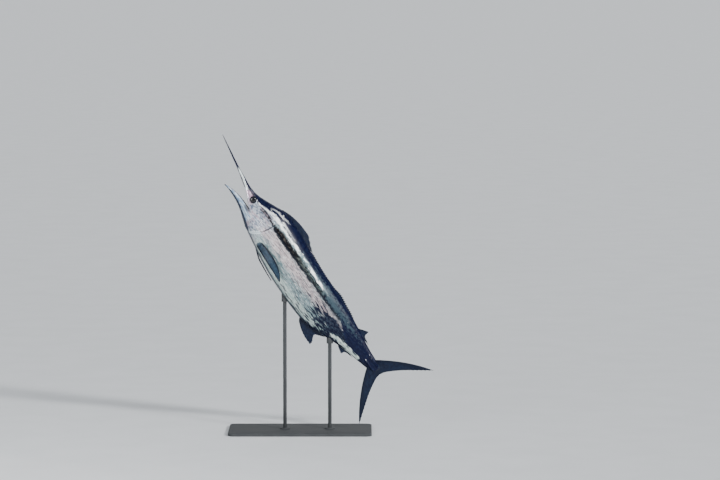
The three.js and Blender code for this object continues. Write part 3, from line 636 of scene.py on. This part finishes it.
def blotched(lumps, low, high, deep, light):
    """A colour that goes from deep to light as the noise goes from low to high."""
    return tint(wet, ramp(wet, lumps, low, high), colour(*deep), colour(*light))


def laid(under, name, wobble, ragged, soft, over, strength=1.0):
    """The skin's colour so far with one marking laid over it."""
    amount = calc(wet, "MULTIPLY", marking(wet, name, wobble, ragged, soft), strength)
    return tint(wet, amount, under, over)


flank = blotched(smear, -0.12, 0.12, (0.13, 0.20, 0.22), (0.33, 0.42, 0.43))
pale = blotched(smear, -0.16, 0.12, (0.30, 0.42, 0.40), (0.62, 0.70, 0.66))
blush = blotched(smear, -0.14, 0.10, (0.27, 0.22, 0.24), (0.64, 0.56, 0.56))
bone = blotched(mottle, -0.12, 0.12, (0.10, 0.13, 0.19), (0.42, 0.46, 0.53))
bone = tint(wet, ramp(wet, long_lumps, -0.02, 0.14, 0.0, 0.7), bone, colour(0.42, 0.31, 0.36))
jaw_blue = blotched(smear, -0.12, 0.12, (0.18, 0.28, 0.42), (0.52, 0.62, 0.72))
dark = blotched(mottle, -0.05, 0.25, (0.004, 0.006, 0.022), (0.030, 0.045, 0.070))
front_band = blotched(mottle, 0.0, 0.2, (0.005, 0.005, 0.008), (0.07, 0.062, 0.055))
back_band = blotched(mottle, -0.06, 0.16, (0.016, 0.020, 0.022), (0.11, 0.13, 0.12))
band = tint(wet, ramp(wet, along, 0.85, 1.05), front_band, back_band)
band = tint(wet, ramp(wet, along, 1.3, 1.42), band, dark)
navy = blotched(mottle, 0.0, 0.3, (0.002, 0.004, 0.024), (0.006, 0.014, 0.050))
lining = blotched(mottle, -0.15, 0.15, (0.12, 0.10, 0.12), (0.26, 0.21, 0.23))
# The white of the painted highlights.
glint_white = colour(0.84, 0.86, 0.86)
painted = flank
for name, wobble, ragged, soft, over in (
    ("pale_belly", long_lumps, 0.05, 0.026, pale),
    ("blush", smear, 0.16, 0.030, blush),
    ("cheek", mottle, 0.08, 0.035, bone),
    ("pink", mottle, 0.04, 0.016, colour(0.46, 0.30, 0.40)),
    ("jaw", mottle, 0.03, 0.014, jaw_blue),
    ("gill_bar", mottle, 0.03, 0.008, colour(0.70, 0.79, 0.83)),
):
    painted = laid(painted, name, wobble, ragged, soft, over)
# Small white flecks over the flank, painted highlights: the sun's glints on the silver scales.
glint_flecks = ramp(wet, grain(wet, lie, (26.0, 90.0, 150.0), 3.0), 0.07, 0.14, 0.0, 0.7)
painted = tint(wet, glint_flecks, painted, colour(0.78, 0.80, 0.80))
drift = calc(wet, "MULTIPLY_ADD", along, 0.22, smear)
smudges = ramp(wet, drift, 0.26, 0.37)
smudges = calc(wet, "MULTIPLY", smudges, ramp(wet, along, 0.56, 0.75, 0.0, 0.85))
painted = tint(wet, smudges, painted, colour(0.035, 0.048, 0.065))
for name, wobble, ragged, soft, over, strength in (
    ("rear", smear, 0.34, 0.034, dark, 1.0),
    ("band", mottle, 0.07, 0.008, band, 1.0),
    ("band_foot", mottle, 0.04, 0.006, colour(0.006, 0.008, 0.016), 0.9),
    ("navy", long_lumps, 0.016, 0.005, navy, 1.0),
    # Painted shade under the belly.
    ("belly_shade", mottle, 0.02, 0.006, dark, ramp(wet, along, 1.2, 1.5, 0.8, 1.0)),
    # Painted sheen on the rear of the back.
    ("sheen", mottle, 0.12, 0.018, colour(0.06, 0.10, 0.12), 0.6),
    # The sun's glint on the upper flank, a painted highlight.
    ("streak", smear, 0.08, 0.004, glint_white, 1.0),
    # The sun's glints on the nape, painted highlights.
    ("nape", smear, 0.05, 0.006, glint_white, 0.7),
    ("stock_streak", smear, 0.09, 0.009, pale, 1.0),
    # The sun's glint on the bill's base, a painted highlight.
    ("flash", long_lumps, 0.01, 0.004, colour(0.68, 0.76, 0.76), 1.0),
    # The jaw's dark lower edge, partly painted shade.
    ("jaw_edge_shade", mottle, 0.02, 0.005, colour(0.018, 0.028, 0.055), 1.0),
    ("cheek_line", mottle, 0.03, 0.004, colour(0.03, 0.026, 0.03), 0.85),
    ("lip_shade", mottle, 0.03, 0.008, colour(0.02, 0.03, 0.05), 0.85),
    # Painted shade in the gill slit.
    ("slit", mottle, 0.008, 0.004, colour(0.02, 0.025, 0.04), 0.8),
    ("socket", mottle, 0.01, 0.003, colour(0.01, 0.01, 0.02), 1.0),
):
    painted = laid(painted, name, wobble, ragged, soft, over, strength)
painted = tint(wet, ramp(wet, note(wet, "lining"), 0.3, 0.9), painted, lining)
silver = calc(wet, "SUBTRACT", 1.0, marking(wet, "navy", long_lumps, 0.016, 0.01))
scale_shape = add(wet, "VectorMath", {0: lie, 1: (120.0, 260.0, 420.0)}, operation="MULTIPLY")
scales = add(wet, "TexVoronoi", {"Vector": scale_shape, "Scale": 1.0})
furrows = grain(wet, lie, (60.0, 300.0, 520.0), 3.0)
scaly = calc(wet, "MULTIPLY_ADD", furrows, 0.8, scales)
feed(wet, shine, {
    "Base Color": painted,
    "Metallic": calc(wet, "MULTIPLY", silver, 0.15),
    "Roughness": ramp(wet, mottle, -0.25, 0.25, 0.22, 0.36),
    "Specular IOR Level": 0.1,
    "Coat Weight": 0.22,
    "Coat Roughness": 0.10,
    "Normal": add(wet, "Bump", {"Strength": 0.22, "Distance": 0.0012, "Height": scaly}),
})
skin.data.materials.append(wet)
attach(skin, "root")
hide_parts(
    "head", "bill", "gill_cover_left", "gill_cover_right", "lower_jaw", "trunk_front",
    "trunk_rear", "tail_stock",
)

# Eyes
# Each is a large dark ball set in its socket and flattened towards the skin, with a black pupil
# in a thin ring of dull silver under a clear wet cornea.
eye_finish, eye_shine = new_finish("eye")
from_axis = note(eye_finish, "from_axis")
iris_noise = grain(eye_finish, note(eye_finish, "lie", "Vector"), (600.0, 600.0, 600.0))
ring = calc(eye_finish, "MULTIPLY_ADD", iris_noise, 0.08, from_axis)
pupil = ramp(eye_finish, ring, 0.54, 0.60)
rim = ramp(eye_finish, ring, 0.70, 0.92)
iris = tint(eye_finish, rim, colour(0.014, 0.016, 0.024), colour(0.003, 0.003, 0.005))
feed(eye_finish, eye_shine, {
    "Base Color": tint(eye_finish, pupil, colour(0.002, 0.002, 0.003), iris),
    "Roughness": 0.12,
    "Specular IOR Level": 0.3,
    "Coat Weight": 0.4,
    "Coat Roughness": 0.02,
})
EYE_DEEP, EYE_SUNK, EYE_SPOKES, EYE_RINGS = 0.012, 0.004, 48, 32
for side, name in ((-1, "left"), (1, "right")):

    def ball(i, v):
        turn, down = 2 * math.pi * i / EYE_SPOKES, math.pi * v
        out = side * (side_at(EYE_X, EYE_Z) - EYE_SUNK + EYE_DEEP * np.cos(down))
        radius = EYE_RADIUS * np.sin(down)
        return EYE_X + radius * np.cos(turn), out, EYE_Z + radius * np.sin(turn)

    def from_middle(i, v):
        """The back half counts as rim."""
        return {"from_axis": np.where(v < 0.5, np.sin(math.pi * v), 1)}

    eye = closed(shaped_grid(f"eye_{name}", EYE_SPOKES, EYE_RINGS, ball, from_middle))
    eye.data.materials.append(eye_finish)
    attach(eye, "root")
    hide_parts(f"eye_{name}")

# The fins' finish
# Each fin is a web of skin over stiff rays of bone. The web is dark and thins towards its edge,
# and the rays stand out from it as paler lines.
def fin_finish(name, web, ray_colour, edge_colour, root_colour):
    """A web with lines along its rays: ray counts them, reach goes from root to tip, and front
    from the front edge to the rear."""
    material, surface = new_finish(name)
    where = note(material, "lie", "Vector")
    patches = grain(material, where, (40.0, 40.0, 60.0), 3.0)
    fine = grain(material, where, (260.0, 260.0, 260.0), 2.0)
    count, reach = note(material, "ray"), note(material, "reach")
    wave = calc(material, "COSINE", calc(material, "MULTIPLY", count, 2 * math.pi))
    on_ray = ramp(material, wave, 0.55, 0.98)
    split = calc(material, "COSINE", calc(material, "MULTIPLY", count, 10 * math.pi))
    branches = calc(material, "MULTIPLY", ramp(material, split, 0.2, 1.0), 0.25)
    lines = calc(material, "MAXIMUM", on_ray, branches)
    amount = calc(material, "MULTIPLY", lines, ramp(material, patches, -0.2, 0.25, 0.25, 0.9))
    lighter = colour(*(1.9 * part for part in web[:3]))
    base = tint(material, ramp(material, patches, -0.2, 0.2), web, lighter)
    base = tint(material, amount, base, ray_colour)
    base = tint(material, ramp(material, reach, 0.93, 1.0), base, edge_colour)
    beside = calc(material, "ABSOLUTE", calc(material, "SUBTRACT", note(material, "front"), 0.5))
    base = tint(material, ramp(material, beside, 0.22, 0.42), base, edge_colour)
    base = tint(material, ramp(material, reach, 0.04, 0.16, 0.9, 0.0), base, root_colour)
    height = calc(material, "MULTIPLY_ADD", fine, 0.5, calc(material, "MULTIPLY", split, 0.25))
    feed(material, surface, {
        "Base Color": base,
        "Roughness": ramp(material, fine, -0.25, 0.25, 0.22, 0.42),
        "Specular IOR Level": 0.1,
        "Coat Weight": 0.15,
        "Coat Roughness": 0.10,
        "Normal": add(material, "Bump", {"Strength": 0.35, "Distance": 0.0008, "Height": height}),
    })
    return material


CELLS_PER_RAY = 8


def blade(name, finish, rays, steps, middle, half, ragged, ridge):
    """A closed fin. middle(v, reach) is its mid surface, v from front to rear and reach from
    root to tip, and half its half thickness. Rays stand up by ridge and the web between them
    ends short of their tips by ragged."""
    last = 2 * steps + 3

    def lay(i, v):
        k = np.rint(v * last)
        u = np.clip(np.where(k <= steps + 1, k - 1, last - 1 - k) / steps, 0, 1)
        side = np.where((k == 0) | (k == last), 0, np.where(k <= steps + 1, -1, 1))
        return i / CELLS_PER_RAY, i / (rays * CELLS_PER_RAY), u, side

    def place(i, v):
        ray, front, u, side = lay(i, v)
        notch = np.sin(math.pi * ray) ** 2
        x, y, z = middle(front, u * (1 - ragged * notch))
        thin = rounded(np.minimum(front, 1 - front), 0, 0.02)
        thick = half(front, u) + ridge * (1 - notch) ** 2 * (1 - 0.6 * u)
        return x, y + side * thick * thin, z

    def notes(i, v):
        ray, front, u, side = lay(i, v)
        return {"ray": ray, "reach": u, "front": front}

    piece = closed(shaped_grid(name, rays * CELLS_PER_RAY, last, place, notes))
    piece.data.materials.append(finish)
    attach(piece, "root")
    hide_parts(name)


def upright_fin(root, tip, bend):
    """The mid surface of a fin on the fish's midline, from its root and tip curves."""

    def middle(v, reach):
        root_x, root_z = root(v)
        tip_x, tip_z = tip(v)
        bend_x, bend_z = bend(v)
        bow = 4 * reach * (1 - reach)
        return mix(root_x, tip_x, reach) + bend_x * bow, 0, mix(root_z, tip_z, reach) + bend_z * bow

    return middle


def tapered(root, rear, edge):
    """A half thickness: root at the front's foot, rear at the rear's, edge at the free edge."""
    return lambda v, u: mix(mix(root, rear, v), edge, u**0.8)


def curve(table):
    """A smooth curve from a table of (v, x, z)."""
    x = through([(v, x) for v, x, _ in table])
    z = through([(v, z) for v, _, z in table])
    return lambda v: (x(v), z(v))


def straight(v):
    return 0, 0


NAVY = colour(0.003, 0.005, 0.018)
dark_fin = fin_finish(
    "dark fin", web=NAVY, ray_colour=colour(0.022, 0.042, 0.060),
    edge_colour=colour(0.006, 0.010, 0.024), root_colour=NAVY,
)

# First dorsal fin
# Its tall front lobe is folded back, with the tips of its rays free behind, and a low fringe of
# short rays runs from it along the back. Both rise out of the sheath in the skin.
LOBE_TIPS = curve([
    (0, 0.5, 0.236), (0.08, 0.575, 0.263), (0.17, 0.655, 0.281), (0.26, 0.735, 0.289),
    (0.35, 0.8, 0.29), (0.44, 0.848, 0.285), (0.53, 0.868, 0.27), (0.62, 0.893, 0.264),
    (0.71, 0.915, 0.248), (0.8, 0.94, 0.242), (0.9, 0.962, 0.231), (1, 0.985, 0.224),
])
FRINGE_HEIGHT = through([
    (0, 0.015), (0.25, 0.011), (0.5, 0.012), (0.66, 0.027), (0.78, 0.017), (0.92, 0.012), (1, 0.004),
])


def lobe_root(v):
    x = mix(0.478, 0.905, v)
    return x, BACK(x) - 0.014


def fringe_root(v):
    x = mix(0.935, 1.672, v)
    return x, BACK(x) - 0.012


def fringe_tip(v):
    x = mix(0.994, 1.712, v)
    return x, BACK(x) + FRINGE_HEIGHT(v)


def lobe_bend(v):
    return 0, 0.009 * np.sin(math.pi * np.minimum(1, 1.6 * v))


blade(
    "dorsal_fin_lobe", dark_fin, rays=24, steps=20, ragged=0.07, ridge=0.0013,
    middle=upright_fin(lobe_root, LOBE_TIPS, lobe_bend),
    half=tapered(root=0.008, rear=0.005, edge=0.0016),
)
blade(
    "dorsal_fin_fringe", dark_fin, rays=34, steps=8, ragged=0.3, ridge=0.0011,
    middle=upright_fin(fringe_root, fringe_tip, straight),
    half=tapered(root=0.005, rear=0.005, edge=0.0012),
)

# Second dorsal and second anal fins
# A small pair opposite each other just before the tail root, each with a long last ray. Their
# rays are rooted in the muscle of the back and the belly.
for name, line, up, front_x, rear_x, tall in (
    ("second_dorsal_fin", BACK, 1, 1.78, 1.878, 0.070),
    ("second_anal_fin", BELLY, -1, 1.792, 1.888, 0.050),
):
    tip_x = through([
        (0, front_x + 0.03), (0.3, front_x + 0.096), (0.55, rear_x + 0.006), (0.8, rear_x + 0.03),
        (1, rear_x + 0.096),
    ])
    rise = through([(0, 0.014), (0.3, tall), (0.55, 0.42 * tall), (0.8, 0.24 * tall), (1, 0.2 * tall)])

    def small_root(v):
        x = mix(front_x, rear_x, v)
        return x, line(x) - up * 0.012

    def small_tip(v):
        return tip_x(v), line(tip_x(v)) + up * rise(v)

    blade(
        name, dark_fin, rays=9, steps=12, ragged=0.06, ridge=0.0009,
        middle=upright_fin(small_root, small_tip, straight),
        half=tapered(root=0.005, rear=0.005, edge=0.0008),
    )

# First anal fin
# A stiff pointed blade under the rear of the belly, its edge hollowed towards the rear. Its
# rays are rooted in the muscle of the belly.
ANAL_TIPS = curve([
    (0, 1.424, -0.256), (0.12, 1.5, -0.283), (0.25, 1.585, -0.297), (0.36, 1.652, -0.298),
    (0.46, 1.646, -0.27), (0.58, 1.618, -0.24), (0.7, 1.601, -0.214), (0.85, 1.634, -0.18),
    (1, 1.676, -0.146),
])


def anal_root(v):
    x = mix(1.378, 1.625, v)
    return x, BELLY(x) + 0.013


def anal_bend(v):
    return 0, -0.005 * (1 - v)


blade(
    "anal_fin", dark_fin, rays=18, steps=20, ragged=0.035, ridge=0.0011,
    middle=upright_fin(anal_root, ANAL_TIPS, anal_bend),
    half=tapered(root=0.008, rear=0.005, edge=0.0008),
)

# Tail fin
# Two long stiff lobes in a crescent, joined by a short web at the fork. Their rays clasp the
# end of the tail stock.
TAIL_LEVEL = 0.060
TAIL_EDGE = curve([
    (0, 2.522, 0.428), (0.18, 2.438, 0.316), (0.4, 2.348, 0.192), (0.62, 2.292, 0.1),
    (0.82, 2.264, 0.042), (1, 2.254, -0.002),
])
for name, level in (("tail_fin_upper", 1), ("tail_fin_lower", -1)):

    def tail_root(v):
        return mix(2.118, 2.196, v), TAIL_LEVEL + level * mix(0.042, -0.002, v)

    def tail_tip(v):
        x, away = TAIL_EDGE(v)
        return x, TAIL_LEVEL + level * away

    def tail_bend(v):
        return -0.014 * (1 - v), level * 0.022 * (1 - v)

    blade(
        name, dark_fin, rays=20, steps=26, ragged=0.02, ridge=0.0012,
        middle=upright_fin(tail_root, tail_tip, tail_bend),
        half=tapered(root=0.012, rear=0.010, edge=0.0008),
    )

# Pectoral fins
# Long blades set low behind the gill covers. They stand off the flank, blue-grey with darker
# edges.
PECTORAL_UPPER = through([
    (0.56, -0.104), (0.625, -0.091), (0.701, -0.083), (0.813, -0.086), (0.905, -0.106),
    (0.965, -0.134), (1.008, -0.164),
])
PECTORAL_LOWER = through([
    (0.56, -0.14), (0.625, -0.151), (0.706, -0.157), (0.839, -0.163), (0.951, -0.168),
    (1.008, -0.17),
])
pale_fin = fin_finish(
    "pale fin", web=colour(0.013, 0.027, 0.046), ray_colour=colour(0.05, 0.085, 0.12),
    edge_colour=colour(0.004, 0.007, 0.016), root_colour=colour(0.24, 0.32, 0.35),
)
PECTORAL_LEVEL = -0.125
for name, side in (("pectoral_fin_left", -1), ("pectoral_fin_right", 1)):

    def pectoral(v, reach):
        x = mix(0.566, 1.008, reach)
        z = mix(PECTORAL_UPPER(x), PECTORAL_LOWER(x), v)
        level_y = side_at(x, np.full_like(x, PECTORAL_LEVEL))
        flank_y = mix(side_at(x, z), level_y, smooth(reach, 0.1, 0.6))
        away = mix(-0.014, 0.044, smooth(reach, 0, 0.7) ** 0.6) + 0.020 * reach
        round_root = 0.020 * (2 * v - 1) ** 2 * (1 - smooth(reach, 0, 0.2))
        return x + round_root - 0.010 * (1 - reach) * v, side * (flank_y + away), z

    def pectoral_half(v, u):
        return mix(0.007, 0.0011, u**0.6) * (1 - 0.45 * np.abs(2 * v - 1))

    blade(
        name, pale_fin, rays=14, steps=36, ragged=0.004, ridge=0.0005,
        middle=pectoral, half=pectoral_half,
    )

# Pelvic fins
# Two long thin filaments under the throat, lying back along the belly's groove. Each is a pair
# of rays in a narrow web.
for name, side in (("pelvic_fin_left", -1), ("pelvic_fin_right", 1)):

    def pelvic(v, reach):
        x = mix(0.604, 0.962, reach)
        z = BELLY(x) + mix(0.010, -0.014, smooth(reach, 0, 0.4))
        z = z + mix(0.008, 0.002, reach) * (1 - 2 * v)
        return x, side * mix(0.016, 0.024, reach), z

    def pelvic_half(v, u):
        return mix(0.004, 0.001, u) * (1 - 0.3 * np.abs(2 * v - 1))

    blade(
        name, dark_fin, rays=2, steps=40, ragged=0.0, ridge=0.0004,
        middle=pelvic, half=pelvic_half,
    )

# Display stand
# A flat steel plate with rounded corners carries two upright rods. Each rod is welded to a round
# foot and ends in a round saddle pad whose top follows the belly. All of it is painted dark grey.
paint, paint_shine = new_finish("stand paint")
paint_at = add(paint, "TexCoord", {}, "Object")
peel = grain(paint, paint_at, (420.0, 420.0, 420.0), 2.0)
wear = grain(paint, paint_at, (6.0, 6.0, 6.0), 4.0)
worn = ramp(paint, wear, -0.2, 0.2)
greys = tint(paint, worn, colour(0.050, 0.054, 0.058), colour(0.066, 0.070, 0.074))
feed(paint, paint_shine, {
    "Base Color": greys,
    "Roughness": ramp(paint, wear, -0.2, 0.2, 0.70, 0.80),
    "Specular IOR Level": 0.1,
    "Normal": add(paint, "Bump", {"Strength": 0.12, "Distance": 0.0004, "Height": peel}),
})
under_skin = BVHTree.FromObject(skin, bpy.context.evaluated_depsgraph_get())
CORNER_CELLS = 16


def untipped(points):
    """Points where the part stands, as the fish's own x, y and z."""
    across, y, height = np.asarray(points, float).T
    across, height = across - AXIS_X, height - AXIS_Z
    x = math.cos(PITCH) * across - math.sin(PITCH) * height
    return x, y, math.sin(PITCH) * across + math.cos(PITCH) * height


def standing(name, at_x, long, wide, corner, profile, lift=None):
    """A solid over the floor whose plan is a rectangle with round corners, or a circle where the
    corner's radius is half of both sizes. profile runs from the middle of its underside to the
    middle of its top, in steps of (inset, height), and an inset of None is the middle.
    lift(x, y, height) may change a height."""
    per_corner = CORNER_CELLS + 1

    def place(i, v):
        k = np.rint(v * 4 * per_corner).astype(int) % (4 * per_corner)
        turned = k // per_corner
        turn = math.pi / 2 * (turned + (k % per_corner) / CORNER_CELLS)
        inset = np.array([corner if row[0] is None else row[0] for row in profile])[i]
        middle = np.array([row[0] is None for row in profile])[i]
        height = np.array([row[1] for row in profile])[i]
        way_x = np.where((turned == 0) | (turned == 3), 1, -1)
        way_y = np.where(turned < 2, 1, -1)
        x = at_x + ~middle * (way_x * (long / 2 - corner) + (corner - inset) * np.cos(turn))
        y = ~middle * (way_y * (wide / 2 - corner) + (corner - inset) * np.sin(turn))
        if lift:
            height = lift(x, y, height)
        return untipped(np.stack([x, y, height], axis=-1))

    piece = closed(shaped_grid(name, len(profile) - 1, 4 * per_corner, place))
    piece.data.materials.append(paint)
    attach(piece, "root")
    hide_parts(name)


def round_bar(name, at_x, radius, profile, lift=None):
    standing(name, at_x, 2 * radius, 2 * radius, radius, profile, lift)


def rounded_off(radius, height, up):
    """The profile of an edge rounded to that radius: height is its outer level."""
    turns = np.linspace(0, math.pi / 2, 5)
    rows = [(radius * (1 - math.cos(t)), height + up * radius * math.sin(t)) for t in turns]
    return rows if up > 0 else rows[::-1]


low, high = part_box("stand_base")
long, wide, plate_top = high.x - low.x, high.y - low.y, high.z
PLATE_CORNER, PLATE_EDGE, PLATE_FOOT = 0.060, 0.003, 0.0012
plate = [(None, 0.0)] + rounded_off(PLATE_FOOT, PLATE_FOOT, -1)
plate += rounded_off(PLATE_EDGE, plate_top - PLATE_EDGE, 1) + [(None, plate_top)]
standing("stand_base", 0.0, long, wide, PLATE_CORNER, plate)
ROD_RADIUS, ROD_EDGE = 0.017, 0.001
FOOT_RADIUS, FOOT_UNDER_EDGE, FOOT_EDGE, FOOT_RISE = 0.046, 0.0008, 0.002, 0.005
COLLAR_FOOT, COLLAR_TOP, COLLAR_RISE = 0.020, 0.026, 0.0012
PAD_RADIUS, PAD_EDGE, BELLY_GAP = 0.030, 0.002, 0.0004
PAD_RIM = ((0.0, -0.0015), (0.0004, -0.0005))
PAD_RINGS = (0.0015, 0.004, 0.008, 0.013, 0.018, 0.023, 0.027)
FROM_BELLY = -10.0


def lift_to_belly(x, y, height):
    """FROM_BELLY plus a rise stands for that rise over the belly's height at the place, less a
    small gap. Other heights stay as they are."""
    heights = []
    for px, py, level in zip(*(a.ravel() for a in np.broadcast_arrays(x, y, height))):
        if level < FROM_BELLY / 2:
            belly = under_skin.ray_cast(Vector((px, py, 0.1)), Vector((0, 0, 1)))[0]
            level = belly.z - BELLY_GAP + (level - FROM_BELLY)
        heights.append(level)
    return np.array(heights)


for end in ("front", "rear"):
    low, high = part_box(f"stand_foot_{end}")
    at_x, foot_low, foot_top = (low.x + high.x) / 2, low.z, high.z
    foot = [(None, foot_low)] + rounded_off(FOOT_UNDER_EDGE, foot_low + FOOT_UNDER_EDGE, -1)
    foot += rounded_off(FOOT_EDGE, foot_top - FOOT_RISE, 1)
    foot += [(COLLAR_FOOT, foot_top - COLLAR_RISE), (COLLAR_TOP, foot_top), (None, foot_top)]
    round_bar(f"stand_foot_{end}", at_x, FOOT_RADIUS, foot)
    low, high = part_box(f"stand_rod_{end}")
    rod = [(None, low.z), (ROD_EDGE, low.z), (0.0, low.z + ROD_EDGE)]
    rod += [(0.0, high.z - ROD_EDGE), (ROD_EDGE, high.z), (None, high.z)]
    round_bar(f"stand_rod_{end}", at_x, ROD_RADIUS, rod)
    low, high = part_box(f"stand_pad_{end}")
    pad = [(None, low.z)] + rounded_off(PAD_EDGE, low.z + PAD_EDGE, -1)
    pad += [(inset, FROM_BELLY + rise) for inset, rise in PAD_RIM]
    pad += [(inset, FROM_BELLY) for inset in PAD_RINGS] + [(None, FROM_BELLY)]
    round_bar(f"stand_pad_{end}", at_x, PAD_RADIUS, pad, lift_to_belly)

# Floor, light and camera
# A plain pale floor under a clear high light from the front right, with a wide soft one from the
# front left and a very soft one from behind. The camera looks from well back at the left side.
FLOOR_WIDE = 2400
bpy.ops.mesh.primitive_grid_add(x_subdivisions=40, y_subdivisions=40, size=FLOOR_WIDE)
floor = bpy.context.object
floor.name = "floor"
floor_finish, floor_surface = new_finish("floor")
floor_at = add(floor_finish, "TexCoord", {}, "Object")
floor_lumps = grain(floor_finish, floor_at, (2.0, 2.0, 2.0), 3.0)
floor_patches = ramp(floor_finish, floor_lumps, -0.3, 0.3)
pales = tint(floor_finish, floor_patches, colour(0.76, 0.78, 0.80), colour(0.80, 0.82, 0.84))
feed(floor_finish, floor_surface, {"Base Color": pales, "Roughness": 0.75})
floor.data.materials.append(floor_finish)
floor.select_set(False)

world = bpy.context.scene.world or bpy.data.worlds.new("studio")
bpy.context.scene.world = world
world.use_nodes = True
air = world.node_tree.nodes["Background"]
air.inputs["Color"].default_value = colour(0.80, 0.86, 0.92)
air.inputs["Strength"].default_value = 0.36

bpy.ops.object.light_add(type="AREA", location=(-4.5, -7.0, 3.6))
front_light = bpy.context.object
front_light.name = "front light"
front_light.data.shape = "SQUARE"
front_light.data.size = 4.0
front_light.data.energy = 350
to_fish = Vector((0.2, 0.0, 1.4)) - front_light.location
front_light.rotation_euler = to_fish.to_track_quat("-Z", "Y").to_euler()
front_light.select_set(False)
AIM = Vector((0.552, 0.0, 1.776))


def far_light(name, towards, strength, spread):
    """A distant light that shines towards a direction, spread degrees wide in the sky."""
    bpy.ops.object.light_add(type="SUN", location=AIM - 8 * Vector(towards))
    lamp = bpy.context.object
    lamp.name = name
    lamp.data.energy, lamp.data.angle = strength, math.radians(spread)
    lamp.rotation_euler = Vector(towards).to_track_quat("-Z", "Y").to_euler()
    lamp.select_set(False)


far_light("high light", (-0.65, 0.64, -0.43), 3.8, 10)
far_light("rear light", (-0.25, -0.85, -0.45), 0.9, 60)
VIEW_UP, VIEW_BACK = math.radians(5), 30.0
eye_point = AIM + VIEW_BACK * Vector((0.0, -math.cos(VIEW_UP), math.sin(VIEW_UP)))
bpy.ops.object.camera_add(location=eye_point)
camera = bpy.context.object
camera.rotation_euler = (AIM - eye_point).to_track_quat("-Z", "Y").to_euler()
camera.data.sensor_width = 36
camera.data.lens = 163
camera.data.clip_end = 3000
bpy.context.scene.camera = camera
